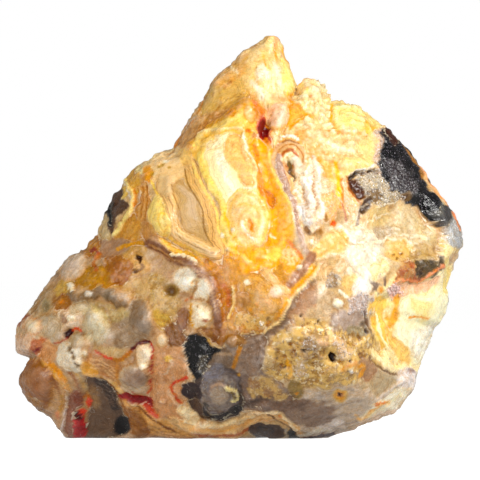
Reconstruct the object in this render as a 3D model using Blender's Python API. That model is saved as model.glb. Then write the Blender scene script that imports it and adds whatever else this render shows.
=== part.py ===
"""A hand-size lump of crazy lace agate, standing on its flat base.

The stone is one closed body. A ball is stretched to the outline that the stone shows from the front, and its front
and back are pressed to a few broad facets. Ledges, hollows, lumps and ridges then rise from those facets, and the
base is cut flat. X runs left to right, -Y is the front, and the base lies on Z = 0.
"""

import math
import random

import bmesh
import bpy
import numpy as np

# Driving sizes, in millimetres
MM = 0.001
MIDDLE_HEIGHT = 25.2
SQUARENESS = 3.4
FACET_BLEND = 0.9
FULL_DETAIL = 7
TRIANGLES = 8600
SNAP_TO_BASE = 0.12

# The outline from the front, clockwise from the tip, as (x, z). The points under Z = 0 are cut away with the base.
OUTLINE = (
    (4.95, 60.4), (6.9, 57.1), (8.2, 54.4), (8.1, 51.9), (10.3, 53.6), (12.9, 52.8), (14.0, 50.5),
    (18.4, 49.6), (21.15, 46.9), (22.95, 45.4), (27.15, 40.9), (28.2, 38.7), (31.5, 34.8), (33.6, 30.9),
    (33.45, 28.8), (31.65, 25.2), (31.0, 22.3), (31.4, 20.5), (30.15, 17.4), (28.95, 16.6), (26.6, 10.0),
    (26.1, 7.3), (23.1, 3.8), (17.8, 1.65), (13.5, 0.15),
    (6.0, -5.0), (-10.0, -7.0), (-20.0, -4.5),
    (-26.4, 0.0), (-28.05, 3.0), (-30.45, 4.3), (-32.25, 6.45), (-32.8, 9.0), (-31.2, 11.9), (-33.4, 13.0),
    (-33.75, 15.2), (-32.8, 17.4), (-31.35, 19.3), (-29.0, 22.6), (-27.1, 25.0), (-25.6, 27.3),
    (-23.4, 27.9), (-21.2, 30.3), (-21.0, 32.2), (-19.7, 34.6), (-17.25, 38.7), (-15.2, 41.1),
    (-9.75, 43.6), (-8.2, 46.5), (-5.1, 51.5), (-4.05, 53.9), (-1.2, 55.9), (1.35, 58.3), (4.4, 60.3),
)

# How far back the rim lies round the outline, as (angle in degrees from +X, mm)
RIM_SET_BACK = ((-180, 2.0), (-140, 0.5), (-90, 0.0), (-40, 2.5), (0, 4.5), (40, 3.0), (82, 3.5), (130, 1.0), (180, 2.0))

# Facets as (x, z, depth there, rise per mm of x, rise per mm of z). Depth is measured outward from the middle.
FRONT_FACETS = (
    (8.0, 8.0, 20.0, 0.05, 0.12),
    (-6.0, 32.0, 16.0, 0.38, -0.30),
    (-18.0, 15.0, 15.5, 0.30, -0.10),
    (16.0, 30.0, 14.5, -0.46, -0.38),
    (26.0, 14.0, 12.5, -0.70, 0.06),
    (4.0, 50.0, 9.0, 0.02, -0.40),
    (-18.0, 4.0, 10.5, 0.20, 0.80),
    (16.0, 3.0, 17.5, -0.18, 0.9),
)
BACK_FACETS = (
    (-2.0, 24.0, 19.0, 0.08, 0.03),
    (3.0, 44.0, 12.5, 0.05, -0.50),
    (-21.0, 18.0, 15.0, 0.38, -0.10),
    (23.0, 25.0, 14.0, -0.44, -0.05),
    (2.0, 4.0, 16.5, -0.05, 0.50),
    (-10.0, 36.0, 13.0, 0.34, -0.40),
)

# Ledges and hollows: closed outlines of (x, z), raised or sunk by the height over a bank of the given width
FRONT_LEDGES = (
    ("wing behind the arch", -3.4, 1.8, (
        (-11.0, 42.4), (-6.0, 44.6), (-1.8, 48.2), (0.6, 50.7), (2.7, 49.8), (3.9, 48.0), (3.4, 44.5),
        (6.0, 49.5), (8.6, 51.5), (9.5, 64.0), (-14.0, 60.0), (-14.0, 44.0))),
    ("block at the right", -2.8, 1.4, (
        (20.2, 20.7), (18.9, 17.7), (19.9, 16.2), (19.2, 13.0), (21.9, 11.1), (23.8, 9.7), (36.0, 7.0),
        (36.0, 24.0), (25.0, 24.0))),
    ("recess below the crest", -2.2, 1.8, (
        (21.0, 27.0), (20.5, 33.0), (24.0, 36.5), (28.0, 35.5), (31.0, 31.0), (30.0, 27.5), (26.0, 26.5))),
    ("slot under the lip", -1.8, 0.9, (
        (0.0, 3.2), (3.3, 4.0), (6.0, 3.6), (9.0, 1.3), (10.5, 0.6), (11.0, -9.0), (-1.0, -9.0))),
    ("dark patch", -1.0, 1.2, (
        (-8.2, 11.5), (-6.6, 15.8), (-3.9, 15.0), (-3.7, 11.0), (-5.8, 9.7))),
    ("grey hollow at the lower left", -1.1, 1.2, (
        (-23.0, 8.8), (-18.0, 7.6), (-16.6, 2.0), (-18.0, -6.0), (-24.5, -6.0), (-24.2, 4.0))),
    ("grey face in front", 1.2, 1.6, (
        (0.5, 4.8), (2.6, 12.5), (8.0, 16.5), (15.5, 15.0), (18.0, 9.5), (21.0, 5.0), (14.0, 2.6), (6.0, 4.2))),
)
BACK_LEDGES = (
    ("broken step", -2.4, 1.8, ((-30.0, 30.0), (-12.0, 27.0), (-4.0, 34.0), (-2.0, 64.0), (-30.0, 60.0))),
    ("scoop", -1.9, 3.0, ((6.0, 10.0), (18.0, 12.0), (21.0, 22.0), (12.0, 28.0), (4.0, 21.0))),
    ("low shelf", 1.7, 1.8, ((-22.0, -9.0), (-20.0, 9.0), (-8.0, 13.0), (3.0, 8.0), (6.0, -9.0))),
)

# Lumps and pits as (name, x, z, radius in x, radius in z, height)
FRONT_LUMPS = (
    ("left end", -31.0, 16.4, 1.5, 1.4, 1.4),
    ("pitted white lump", -25.5, 12.0, 2.3, 2.2, 1.7),
    ("cream lump beside it", -23.8, 14.3, 1.4, 1.5, 1.1),
    ("amber lump", -30.4, 8.1, 2.5, 3.6, 2.2),
    ("pale lump", -21.8, 18.1, 1.9, 1.8, 1.3),
    ("pale lump below", -19.9, 15.6, 1.7, 1.8, 1.3),
    ("grey lump", -14.4, 17.7, 1.6, 2.9, 1.3),
    ("round mauve lump", -15.6, 9.3, 2.5, 2.4, 1.9),
    ("cream lump over it", -14.2, 12.6, 1.4, 1.8, 1.2),
    ("small bead", -11.5, 14.9, 1.1, 1.1, 0.8),
    ("upper white pair", -7.8, 23.5, 1.6, 1.6, 1.3),
    ("lower white pair", -5.5, 22.3, 1.5, 1.5, 1.3),
    ("white lump with a mark", -6.0, 18.7, 1.9, 2.2, 1.4),
    ("blue-grey orb", -3.1, 6.3, 3.6, 3.4, 1.9),
    ("bead in the peach band", -8.2, 3.5, 1.7, 1.5, 1.1),
    ("grey-brown lobe", -1.4, 14.4, 1.0, 1.2, 0.8),
    ("pink lump at the left", -25.4, 25.4, 2.4, 1.9, 1.1),
    ("peach swell", 3.8, 21.2, 3.4, 3.6, 1.1),
    ("orb in the cream panel", 0.8, 31.6, 3.4, 4.1, 0.9),
    ("yellow blob", -11.8, 33.2, 1.5, 3.3, 0.9),
    ("dark spot", -18.2, 34.0, 1.6, 3.2, -0.7),
    ("ringed lobe", 7.2, 42.6, 2.4, 2.4, 1.3),
    ("pink lobe", 6.0, 48.4, 1.8, 2.4, 1.2),
    ("cream block", 17.4, 47.6, 3.6, 2.4, 1.5),
    ("cream tongue", 17.4, 41.2, 3.2, 1.3, 1.2),
    ("white shoulder", 12.0, 35.5, 2.6, 5.2, 1.4),
    ("crystal crust", 9.8, 13.6, 3.2, 2.6, 1.0),
    ("pit at the left end", -25.3, 15.9, 1.0, 1.0, -1.1),
    ("crater", -15.2, 27.0, 1.2, 1.2, -0.8),
    ("olive pit", -10.3, 22.0, 1.1, 1.1, -0.8),
    ("dark blob", -7.4, 7.0, 1.5, 1.4, -0.6),
    ("hole in the crust", 13.6, 12.3, 1.1, 1.1, -1.1),
    ("notch", -32.0, 11.9, 1.3, 0.8, -1.6),
)

# Raised veins and grooves as (name, radius, height, points of (x, z))
FRONT_RIDGES = (
    ("grey ridge", 1.2, 1.1, ((-24.6, 21.3), (-21.0, 22.2), (-17.2, 21.2))),
    ("dark crest", 1.9, 1.7, ((22.2, 46.2), (24.0, 43.5), (26.7, 40.5), (28.8, 36.9), (31.0, 32.4))),
    ("mauve band", 1.2, 0.6, ((5.2, 41.5), (6.8, 37.0), (8.2, 32.0), (9.4, 28.0))),
    ("orange vein", 1.5, -0.7, ((2.6, 42.5), (4.0, 36.5), (5.6, 32.0), (4.2, 28.6))),
    ("corner of the banded panel", 0.9, 0.8, ((-10.6, 38.6), (-10.3, 31.0), (-4.0, 27.6))),
    ("brown lace band", 0.9, 0.8, ((-12.8, 29.8), (-7.2, 26.0), (-4.2, 23.0), (-3.5, 18.2))),
    ("peach lip", 1.1, 1.2, ((-6.5, 1.2), (0.0, 3.9), (4.0, 4.5), (7.5, 3.2), (10.0, 1.4))),
    ("red band", 0.8, -0.7, ((-17.8, 6.9), (-13.6, 5.6), (-12.2, 4.0))),
)

SIDE_SEED = 11
SIDE_LUMPS = 46
SIDE_WEAR = 0.045


def clear_scene():
    for thing in list(bpy.data.objects):
        bpy.data.objects.remove(thing, do_unlink=True)


def outline_radius(angles):
    """Distance from the middle of the stone to its outline, at these angles in the XZ plane."""
    points = np.array(OUTLINE)
    around = np.arctan2(points[:, 1] - MIDDLE_HEIGHT, points[:, 0])
    away = np.hypot(points[:, 1] - MIDDLE_HEIGHT, points[:, 0])
    order = np.argsort(around)
    return np.interp(angles, around[order], away[order], period=2 * math.pi)


def facet_depth(x, z, facets):
    """The least of the facet planes, with their meeting edges rounded."""
    total = np.zeros_like(x)
    for at_x, at_z, depth, by_x, by_z in facets:
        plane = depth + by_x * (x - at_x) + by_z * (z - at_z)
        total += np.exp(-plane / FACET_BLEND)
    return -FACET_BLEND * np.log(total)


def distance_to_path(x, z, points):
    """Distance from each place to the nearest straight run between the points."""
    nearest = np.full_like(x, np.inf)
    for (x0, z0), (x1, z1) in zip(points, points[1:]):
        along = ((x - x0) * (x1 - x0) + (z - z0) * (z1 - z0)) / ((x1 - x0) ** 2 + (z1 - z0) ** 2)
        along = np.clip(along, 0.0, 1.0)
        gap = np.hypot(x - x0 - along * (x1 - x0), z - z0 - along * (z1 - z0))
        nearest = np.minimum(nearest, gap)
    return nearest


def depth_inside(x, z, outline):
    """Distance to the edge of a closed outline, positive inside it."""
    inside = np.zeros(x.shape, bool)
    closed = outline + outline[:1]
    for (x0, z0), (x1, z1) in zip(closed, closed[1:]):
        if z0 == z1:
            continue
        crosses = (z0 > z) != (z1 > z)
        inside ^= crosses & (x < x0 + (z - z0) * (x1 - x0) / (z1 - z0))
    edge = distance_to_path(x, z, closed)
    return np.where(inside, edge, -edge)


def eased(value):
    value = np.clip(value, 0.0, 1.0)
    return value * value * (3.0 - 2.0 * value)


def dome(away):
    """Height of a round lump of radius 1 and height 1, with a soft foot."""
    return np.clip(1.0 - away**2, 0.0, 1.0) ** 0.8


def relief(x, z, ledges, lumps, ridges):
    height = np.zeros_like(x)
    for _, rise, bank, outline in ledges:
        height += rise * eased(0.5 + depth_inside(x, z, outline) / bank)
    for _, at_x, at_z, wide, high, rise in lumps:
        height += rise * dome(np.hypot((x - at_x) / wide, (z - at_z) / high))
    for _, radius, rise, path in ridges:
        height += rise * dome(distance_to_path(x, z, path) / radius)
    return height


def swell(x, y, z):
    """Slow rises and falls over the whole surface."""
    return (
        0.45 * np.sin(0.31 * x + 0.17 * z + 0.9) * np.cos(0.23 * z - 0.19 * y)
        + 0.35 * np.sin(0.47 * z - 0.29 * x + 0.41 * y + 2.1)
        + 0.20 * np.sin(0.83 * x + 0.71 * y - 0.64 * z)
    )


def side_wear(angle, depth):
    """Share of the reach that is broken away behind and in front of the rim, which keeps its full outline."""
    broad = np.sin(3.0 * angle + 2.6 * depth + 0.7)
    narrow = np.sin(7.0 * angle - 5.3 * depth + 1.9)
    return SIDE_WEAR * (1.0 + 0.6 * broad + 0.4 * narrow)


def side_lumps():
    """Small nodules spread over the back and the sides, where lace agate is as lumpy as in front."""
    draw = random.Random(SIDE_SEED)
    found = []
    for _ in range(SIDE_LUMPS):
        turn = draw.uniform(0.0, 2.0 * math.pi)
        out = math.sqrt(draw.uniform(0.0, 0.92))
        radius = float(outline_radius(turn)) * out
        wide = draw.uniform(1.4, 3.4)
        found.append((
            "nodule",
            radius * math.cos(turn),
            MIDDLE_HEIGHT + radius * math.sin(turn),
            wide,
            wide * draw.uniform(0.8, 1.3),
            draw.choice((1.0, 1.0, -0.7)) * wide * draw.uniform(0.25, 0.5),
        ))
    return tuple(found)


def stone_points(ball):
    """Moves the points of a unit ball onto the stone's surface."""
    across = np.hypot(ball[:, 0], ball[:, 2])
    angle = np.arctan2(ball[:, 2], ball[:, 0])
    square = (across**SQUARENESS + np.abs(ball[:, 1]) ** SQUARENESS) ** (-1.0 / SQUARENESS)
    out = across * square
    thick = np.abs(ball[:, 1]) * square
    reach = outline_radius(angle) * out * (1.0 - side_wear(angle, ball[:, 1]) * thick)
    x = reach * np.cos(angle)
    z = MIDDLE_HEIGHT + reach * np.sin(angle)
    degrees, set_back = np.array(RIM_SET_BACK).T
    rim = np.interp(np.degrees(angle), degrees, set_back) * out**2

    front = facet_depth(x, z, FRONT_FACETS) + relief(x, z, FRONT_LEDGES, FRONT_LUMPS, FRONT_RIDGES)
    back = facet_depth(x, z, BACK_FACETS) + relief(x, z, BACK_LEDGES, side_lumps(), ())
    depth = np.where(ball[:, 1] < 0.0, front + rim, back - rim) + swell(x, ball[:, 1] * 20.0, z)
    y = rim + np.sign(ball[:, 1]) * thick * np.maximum(depth, 1.2)
    return np.stack([x, y, z], axis=1) * MM


def round_body():
    """The whole stone before its base is cut, thinned to the wanted number of triangles."""
    mesh = bpy.data.meshes.new("ball")
    shape = bmesh.new()
    bmesh.ops.create_icosphere(shape, subdivisions=FULL_DETAIL, radius=1.0)
    shape.to_mesh(mesh)
    shape.free()
    ball = np.empty(len(mesh.vertices) * 3)
    mesh.vertices.foreach_get("co", ball)
    ball = ball.reshape(-1, 3)
    ball /= np.linalg.norm(ball, axis=1, keepdims=True)
    mesh.vertices.foreach_set("co", stone_points(ball).ravel())
    mesh.update()

    full = bpy.data.objects.new("full", mesh)
    bpy.context.collection.objects.link(full)
    thin = full.modifiers.new("thin", "DECIMATE")
    thin.ratio = TRIANGLES / len(mesh.polygons)
    bpy.context.view_layer.update()
    thinned = bpy.data.meshes.new_from_object(full.evaluated_get(bpy.context.evaluated_depsgraph_get()))
    bpy.data.objects.remove(full, do_unlink=True)
    return thinned


def cut_base(mesh):
    """Cuts the stone flat at Z = 0 and closes the cut with a flat face."""
    shape = bmesh.new()
    shape.from_mesh(mesh)
    bmesh.ops.bisect_plane(
        shape,
        geom=shape.verts[:] + shape.edges[:] + shape.faces[:],
        dist=SNAP_TO_BASE * MM,
        plane_co=(0.0, 0.0, 0.0),
        plane_no=(0.0, 0.0, -1.0),
        clear_outer=True,
    )
    rim = [edge for edge in shape.edges if edge.is_boundary]
    for edge in rim:
        for corner in edge.verts:
            corner.co.z = 0.0
    base = bmesh.ops.contextual_create(shape, geom=rim)["faces"]
    bmesh.ops.triangulate(shape, faces=base)
    bmesh.ops.recalc_face_normals(shape, faces=shape.faces[:])
    shape.to_mesh(mesh)
    shape.free()


def stone_material():
    """Polished-looking tan agate, between the cream, ochre and grey of its bands."""
    material = bpy.data.materials.new("agate")
    material.use_nodes = True
    shader = material.node_tree.nodes["Principled BSDF"]
    shader.inputs["Base Color"].default_value = (0.56, 0.42, 0.27, 1.0)
    shader.inputs["Roughness"].default_value = 0.38
    shader.inputs["Metallic"].default_value = 0.0
    return material


def make_agate():
    mesh = round_body()
    cut_base(mesh)
    mesh.name = "agate"
    mesh.materials.clear()
    mesh.materials.append(stone_material())
    mesh.shade_smooth()
    mesh.set_sharp_from_angle(angle=math.radians(40.0))
    agate = bpy.data.objects.new("agate", mesh)
    bpy.context.collection.objects.link(agate)
    return agate


clear_scene()
make_agate()
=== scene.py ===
# %% [markdown]
# # Crazy lace agate
# This lesson dresses one rough lump of agate, about 67 mm wide, that stands on its flat base.
# The real stone grew as layers of silica in a cavity, so its look is all in bands, beads, veins and crystals.
# We make one fine skin over the plain solid, raise the small relief on it, paint its layers as numbers stored
# at its points, and let a material add what is finer than the points. Crystal grains are scattered last.

# %% Load the plain solid that everything is fitted to
import math

import bpy
import numpy as np
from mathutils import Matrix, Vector
from mathutils.bvhtree import BVHTree


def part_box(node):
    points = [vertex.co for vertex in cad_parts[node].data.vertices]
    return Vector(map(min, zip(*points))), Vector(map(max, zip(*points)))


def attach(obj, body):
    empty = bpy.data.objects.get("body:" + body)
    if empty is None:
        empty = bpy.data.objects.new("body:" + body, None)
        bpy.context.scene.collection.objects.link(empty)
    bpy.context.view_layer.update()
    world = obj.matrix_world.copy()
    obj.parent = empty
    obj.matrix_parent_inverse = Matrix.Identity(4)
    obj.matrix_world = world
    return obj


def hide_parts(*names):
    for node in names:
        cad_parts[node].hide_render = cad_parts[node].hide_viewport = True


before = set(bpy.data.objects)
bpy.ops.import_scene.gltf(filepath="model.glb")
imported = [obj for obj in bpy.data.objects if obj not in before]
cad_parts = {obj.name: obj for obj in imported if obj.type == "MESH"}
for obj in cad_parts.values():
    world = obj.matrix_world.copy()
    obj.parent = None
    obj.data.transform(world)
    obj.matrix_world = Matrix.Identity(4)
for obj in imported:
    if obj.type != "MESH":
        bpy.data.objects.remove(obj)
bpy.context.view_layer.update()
stone_low, stone_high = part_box("agate")
print("the solid reaches from", tuple(stone_low), "to", tuple(stone_high))

# %% [markdown]
# The markings are placed as a person reads them off the photograph, in its frame of 480 by 480 pixels.
# One pixel there is 0.15 mm of the stone, so the sizes below turn any place into metres and back.
# Relief is given in millimetres, and the middle is a point inside the stone, well away from its rim.

# %% Sizes and the way from the photograph to the stone
MM = 0.001
PIXEL = 0.15 * MM
MIDDLE_COLUMN = 240.0
FLOOR_ROW = 438.0
MIDDLE = Vector((0.0, 2.0 * MM, 25.2 * MM))
MIDDLE_ROW = FLOOR_ROW - MIDDLE.z / PIXEL

# %% [markdown]
# Natural edges are never clean, so most shapes here are bent a little by noise.
# Blender has noise in its materials, but the skin also needs it as numbers, before there is a material.
# A lattice of fixed random values with smooth steps between them is the plainest way, and never changes.

# %% Smooth noise from a fixed lattice
def corner_value(column, row, layer, seed):
    """A fixed value from 0 to 1 for each corner of the lattice."""
    mixed = (column * 374761393 + row * 668265263 + layer * 362437 + seed * 974711) & 0xFFFFFFFF
    mixed = ((mixed ^ (mixed >> 13)) * 1274126177) & 0xFFFFFFFF
    return ((mixed ^ (mixed >> 16)) & 0xFFFF) / 65535.0


def eased(value):
    value = np.clip(value, 0.0, 1.0)
    return value * value * (3.0 - 2.0 * value)


def noise(places, size, seed):
    """Smooth noise from -1 to 1 at places given in metres, with lumps of the given size."""
    scaled = places / size + 1000.0
    whole = np.floor(scaled).astype(np.int64)
    part = eased(scaled - whole)
    total = np.zeros(len(places))
    for step_x in (0, 1):
        for step_y in (0, 1):
            for step_z in (0, 1):
                share = np.abs(1 - step_x - part[:, 0])
                share = share * np.abs(1 - step_y - part[:, 1])
                share = share * np.abs(1 - step_z - part[:, 2])
                corner = corner_value(whole[:, 0] + step_x, whole[:, 1] + step_y, whole[:, 2] + step_z, seed)
                total += share * corner
    return total * 2.0 - 1.0


def layered_noise(places, size, seed, layers=3, roughness=0.5):
    total = np.zeros(len(places))
    height = 1.0
    reach = 0.0
    for layer in range(layers):
        total += height * noise(places, size / 2**layer, seed + layer)
        reach += height
        height *= roughness
    return total / reach


# %% [markdown]
# Every marking is one of three kinds. An area is a closed outline with a soft edge, a line is a path with a
# width, and an eye is a set of rings round a point, as agate makes wherever it grew round a grain.
# Each carries a colour, and may also raise the surface, make it shine, or scatter crystals on it.
# Outlines and paths are written as an SVG drawing writes them, "column,row column,row", in the photograph's
# pixels. The markings are kept in a list and laid on one after another, as a painter would.

# %% The list of markings and the ways to add to it
MARKS = []


def places_in(path):
    """The points of a path as an array, from text or, where a loop works them out, from pairs."""
    if isinstance(path, str):
        path = [place.split(",") for place in path.split()]
    return np.array(path, float)


def tint(colour):
    return np.array(colour) / 100.0


def curve_through(path, closed, steps=4):
    """A smooth curve through given points."""
    points = places_in(path)
    count = len(points)
    curve = []
    for run in range(count if closed else count - 1):
        numbers = [run - 1, run, run + 1, run + 2]
        if closed:
            numbers = [number % count for number in numbers]
        before, start, end, after = points[np.clip(numbers, 0, count - 1)]
        for step in range(steps):
            t = step / steps
            bend = 2.0 * before - 5.0 * start + 4.0 * end - after
            twist = 3.0 * start - before - 3.0 * end + after
            curve.append(0.5 * (2.0 * start + (end - before) * t + bend * t**2 + twist * t**3))
    curve.append(curve[0] if closed else points[-1])
    return np.array(curve)


def area(name, colour, outline, edge=4.0, share=1.0, ragged=1.0, rise=0.0, layers=0.45, **finish):
    """Layers is how clearly hair-thin layers show along its edge. With None, those under it stay."""
    curve = curve_through(outline, True)
    MARKS.append(dict(kind="area", name=name, colour=tint(colour), curve=curve, edge=edge, share=share,
                      ragged=ragged, rise=rise, layers=layers, finish=finish, reach=edge))


def line(name, colour, width, path, edge=1.5, share=1.0, ragged=0.7, rise=0.0, dashes=0.0, **finish):
    """Dashes is the pixels from one dash or bead of the line to the next, or 0 for an even line."""
    curve = curve_through(path, False)
    MARKS.append(dict(kind="line", name=name, colour=tint(colour), curve=curve, edge=edge, share=share,
                      dashes=dashes, width=width, ragged=ragged, rise=rise, finish=finish,
                      reach=width + edge))


def eye(name, middle, radii, rings, turn=0.0, edge=1.5, share=1.0, ragged=0.7, rise=0.0, **finish):
    """Rings are (how far out from 0 to 1, colour). Turn is in degrees, against the clock."""
    around = np.array(middle, float)
    box = np.array([around - max(radii), around + max(radii)])
    rings = [(out, tint(colour)) for out, colour in rings]
    MARKS.append(dict(kind="eye", name=name, middle=around, radii=radii, rings=rings,
                      turn=math.radians(turn), edge=edge, share=share, ragged=ragged, rise=rise,
                      finish=finish, reach=max(radii) + edge, curve=box))


def spots(name, path, radii, inner, outer, **how):
    """A small eye of two colours at each place of the path."""
    for place in places_in(path):
        eye(name, place, radii, ((0, inner), (1, outer)), **how)


# %% [markdown]
# Colours are red, green and blue in hundredths, as they look in soft daylight. The plainest have a name.
# Most of the stone is cream, tan and gold; grey and black are thin clear agate over dark ground,
# and the reds are iron that went in along cracks.

# %% Colours of the layers
WHITE = (97, 95, 92)
CREAM = (96, 91, 79)
AMBER = (88, 64, 24)
ORANGE = (88, 52, 15)
OXBLOOD = (36, 7, 5)
OCHRE = (76, 58, 30)
GOLD_TAN = (82, 68, 45)
TAN = (80, 66, 48)
PEACH = (93, 76, 57)
PINK_TAN = (86, 70, 58)
BEIGE = (76, 65, 54)
GREY = (66, 62, 58)
PALE_GREY = (81, 78, 74)
LILAC = (82, 77, 78)
DARK_GREY = (27, 25, 26)
BLACK = (6, 6, 7)
BROWN = (38, 25, 16)
OLIVE = (52, 45, 26)

# %% [markdown]
# The broad grounds come first, from the back of the picture to the front: the wing that rises to the tip,
# the pale shoulder, the grey clear middle on the right, the lumpy left and the crust below.

# %% Broad grounds
area("left half", BEIGE, "95,240 150,232 172,244 214,275 222,320 190,345 186,400 130,440 60,442 14,400 "
    "10,340 40,285", edge=12)
area("pale shoulder", (95, 85, 67), "284,86 330,84 396,122 388,168 346,176 332,214 300,236 284,200 270,150 "
    "266,118", edge=10, jagged=0.7)
area("clear grey middle", (81, 71, 57), "318,210 350,204 392,214 440,240 404,284 370,296 340,330 296,318 "
    "300,280 312,250", edge=10)
area("warm middle", (77, 60, 38), "222,262 262,266 300,262 300,296 284,330 250,340 226,330 214,296", edge=8)
area("ochre crust", (68, 58, 44), "258,336 290,318 330,322 372,334 382,356 366,386 330,392 296,388 268,374",
    edge=14, ragged=2.5, crumb=1)
area("grey lower middle", (60, 55, 53), "226,336 262,336 268,372 300,392 330,404 320,420 262,414 236,408 "
    "214,392 212,356", edge=10)
area("grey right foot", (80, 74, 68), "296,388 340,386 380,372 416,366 420,388 384,412 336,436 300,436 "
    "288,412", edge=8)
area("right block", (99, 93, 76), "372,296 396,276 446,262 456,300 446,340 424,372 396,372 376,352", edge=6)
area("pink field low on the left", (80, 64, 51), "146,346 184,342 190,372 182,396 190,412 170,420 148,402 "
    "152,372", edge=6)

# %% [markdown]
# The wing and the arch are the first layers, cream and gold, broken nearly flat. Broad areas carry them,
# and only their ribs, veins and pinholes are drawn one by one.

# %% The wing
area("wing", (91, 79, 61), "268,34 284,36 292,60 297,95 288,112 263,112 254,101 240,105 222,117 198,138 "
    "184,155 164,152 174,142 190,118 202,90 214,77 232,60 250,44", layers=0.7)
area("gold side", (84, 71, 49), "204,90 216,78 232,74 246,82 252,96 240,105 224,114 206,128 196,120 "
    "200,106", edge=8, layers=0.8, even=0.6)
area("brown foot", (80, 66, 50), "186,126 196,116 210,115 228,111 212,126 198,138 184,153 170,151 178,140",
    edge=6)
area("olive patch", (80, 68, 46), "207,93 216,83 222,90 221,104 213,115 203,108", edge=7, share=0.5)
area("pale ridge", (95, 84, 63), "250,46 266,37 274,60 278,84 270,100 256,98 246,84 240,72 238,58", edge=8)
area("peach rib", (88, 72, 49), "228,64 246,52 250,60 242,76 226,84 214,83", edge=6, rise=0.15)
area("cream bumps", (98, 93, 82), "256,68 264,64 270,72 268,80 258,80", rise=0.2)
area("pale peach", (95, 84, 68), "262,98 280,92 292,96 288,106 270,106", edge=5)
# The pale margin on the right face of the wing is painted light, paler where the light falls on it.
area("lit right face of the wing", (98, 92, 64), "283,60 289,66 296,78 295,94 286,92 282,78")
area("gold corner", (95, 74, 32), "284,90 291,91 294,97 286,98", edge=3)
line("white slope", WHITE, 6, "252,83 257,88 262,97", edge=3, share=0.6, rise=0.2)
line("white streak", WHITE, 5.5, "274,64 277,73 280,83", edge=2.5, share=0.5)
area("tip", (97, 86, 60), "265,38 272,33 281,37 284,50 276,50 268,47", edge=3, rise=0.5)
line("tip, gold rim", (96, 72, 26), 3, "266,40 272,37 279,38 283,47", share=0.7)
line("tip, orange streak", (93, 62, 18), 3.5, "273.6,40 275,48 276.4,58", share=0.85)
line("tip, right streak", (97, 74, 24), 2.6, "280,41 283,52 287,60 291,67")
line("gold fleck", (94, 70, 28), 1.8, "264,61 267,66 270.5,71")
line("upper fleck", (94, 76, 42), 1.6, "262,51 263,58", share=0.7)
line("brown hairline", (68, 48, 24), 1.7, "223.8,88.6 228,85 232.4,81", share=0.85)
line("white patch", CREAM, 3, "231,68 237,72", share=0.8)
for offset in (0, 5, 10, 15):
    line("flow line", (60, 44, 26), 1.3, ((208 - offset, 118 + offset),
        (220 - offset * 0.4, 106 + offset * 0.7), (242 - offset * 0.2, 94 + offset)), share=0.45)
line("curved seam", (66, 50, 30), 1.4, "211,116 219,106 221,98 219,90", share=0.6)
line("dark edge", (86, 58, 24), 2.2, "205,90 201,106 196,117 187,128 176,147", share=0.75)
line("white nick", WHITE, 1.8, "187,125 192,120 197,115", share=0.8)
spots("pinhole", "223,77 240,78 256,68 247,60", (1.1, 0.9), OLIVE, GOLD_TAN, share=0.7)

# %% The arch and the golden field under it
area("golden field", (95, 80, 51), "168,150 184,148 198,140 210,126 226,118 242,103 254,101 266,116 "
    "268,130 262,136 262,152 250,158 230,152 212,160 200,168 190,162 180,160 166,165", edge=5)
area("cream under the arch", (99, 94, 80), "206,142 222,134 240,137 246,158 236,172 220,162 206,154",
    edge=7)
line("arch", (80, 61, 34), 6, "188,148 198,140 211,126 226,118 240,106 246,102 254,103", edge=4, share=0.9,
    rise=0.35)
line("bright side", (97, 88, 62), 4, "196,146 206,134 222,125 236,118 246,112", edge=4, share=0.8)
spots("brown spot", "232,115", (5, 3.5), (72, 50, 18), (86, 62, 28), turn=35, edge=3, share=0.8)
eye("pale oval", (249.5, 114), (5.5, 11), ((0, (93, 80, 64)), (0.6, (90, 75, 55)), (1, (84, 64, 36))),
    turn=12, edge=2)
area("gold brown", (80, 58, 25), "254,106 260,110 264,120 261,129 256,122")
line("brown arc", (80, 50, 20), 5, "254,104 260,109 264.5,116 267,124", edge=5, share=0.85)
area("blood red halo", (80, 40, 12), "256,126 262,114 269,118 271,130 269,142 264,150 259,143 256,134",
    edge=5, share=0.9)
area("blood red spot", (46, 4, 2), "256,132 259,126 262,118 268,119 270,128 268,137 264,147 259,140",
    rise=-0.25, layers=0, gloss=0.8)
area("red under the spot", (80, 34, 8), "261,140 266,140 265,148 263,151 261,146", edge=3, share=0.8)
area("pale pink beside the red", (82, 62, 42), "251,132 257,133 259,142 262,150 267,156 262,159 254,147",
    edge=3, rise=0.15)
line("orange below the red", (93, 66, 24), 5, "266,140 270,150 276,158", edge=3, share=0.9)
spots("orange bead", "248,132", (3, 2.2), (80, 44, 14), (92, 70, 34))
line("bead row", CREAM, 1.6, "200,137 208,132 219,130 232,129 243,131 245,149", share=0.5, rise=0.15,
    dashes=3)
line("bead row, shade", (93, 72, 36), 2, "206,137 219,134 236,133 240,148", share=0.5)

# %% The pink lobe, the star and the cream field
area("cream field", (96, 89, 72), "294,92 314,88 330,94 334,120 324,134 306,128 300,116 294,104", edge=6,
    jagged=1)
area("star", (95, 74, 47), "288,100 297,104 305,112 318,117 304,120 296,124 289,131 287,116")
line("upper vein", (93, 66, 26), 2.2, "290,102 298,108 306,114 314,117", share=0.8)
line("lower vein", (93, 66, 26), 2, "290,127 298,122 306,117", share=0.8)
eye("pink lobe", (277.5, 116), (13, 14), ((0, (94, 80, 68)), (0.3, (97, 86, 76)), (0.5, (93, 78, 66)),
    (0.7, (97, 86, 76)), (0.88, (93, 77, 63)), (1, (95, 82, 63))), turn=-15, rise=0.05)
line("orange rim", (92, 68, 32), 2.2, "267,127 275,129.5 284,128 289,121 290,108")
line("small arc", (95, 86, 68), 2.5, "268,108 272,103 282,101 288,104", share=0.7)
spots("green pinhole", "270,124 271,115 262,98 268,107", (1.2, 1.2), (34, 32, 20), GOLD_TAN, share=0.8)

# %% [markdown]
# The panel is agate broken across its layers, so its bands are lines that follow one another, and the orb is
# a set of rings. Both are smooth, so they get the even number, which calms the mottling there.

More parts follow.
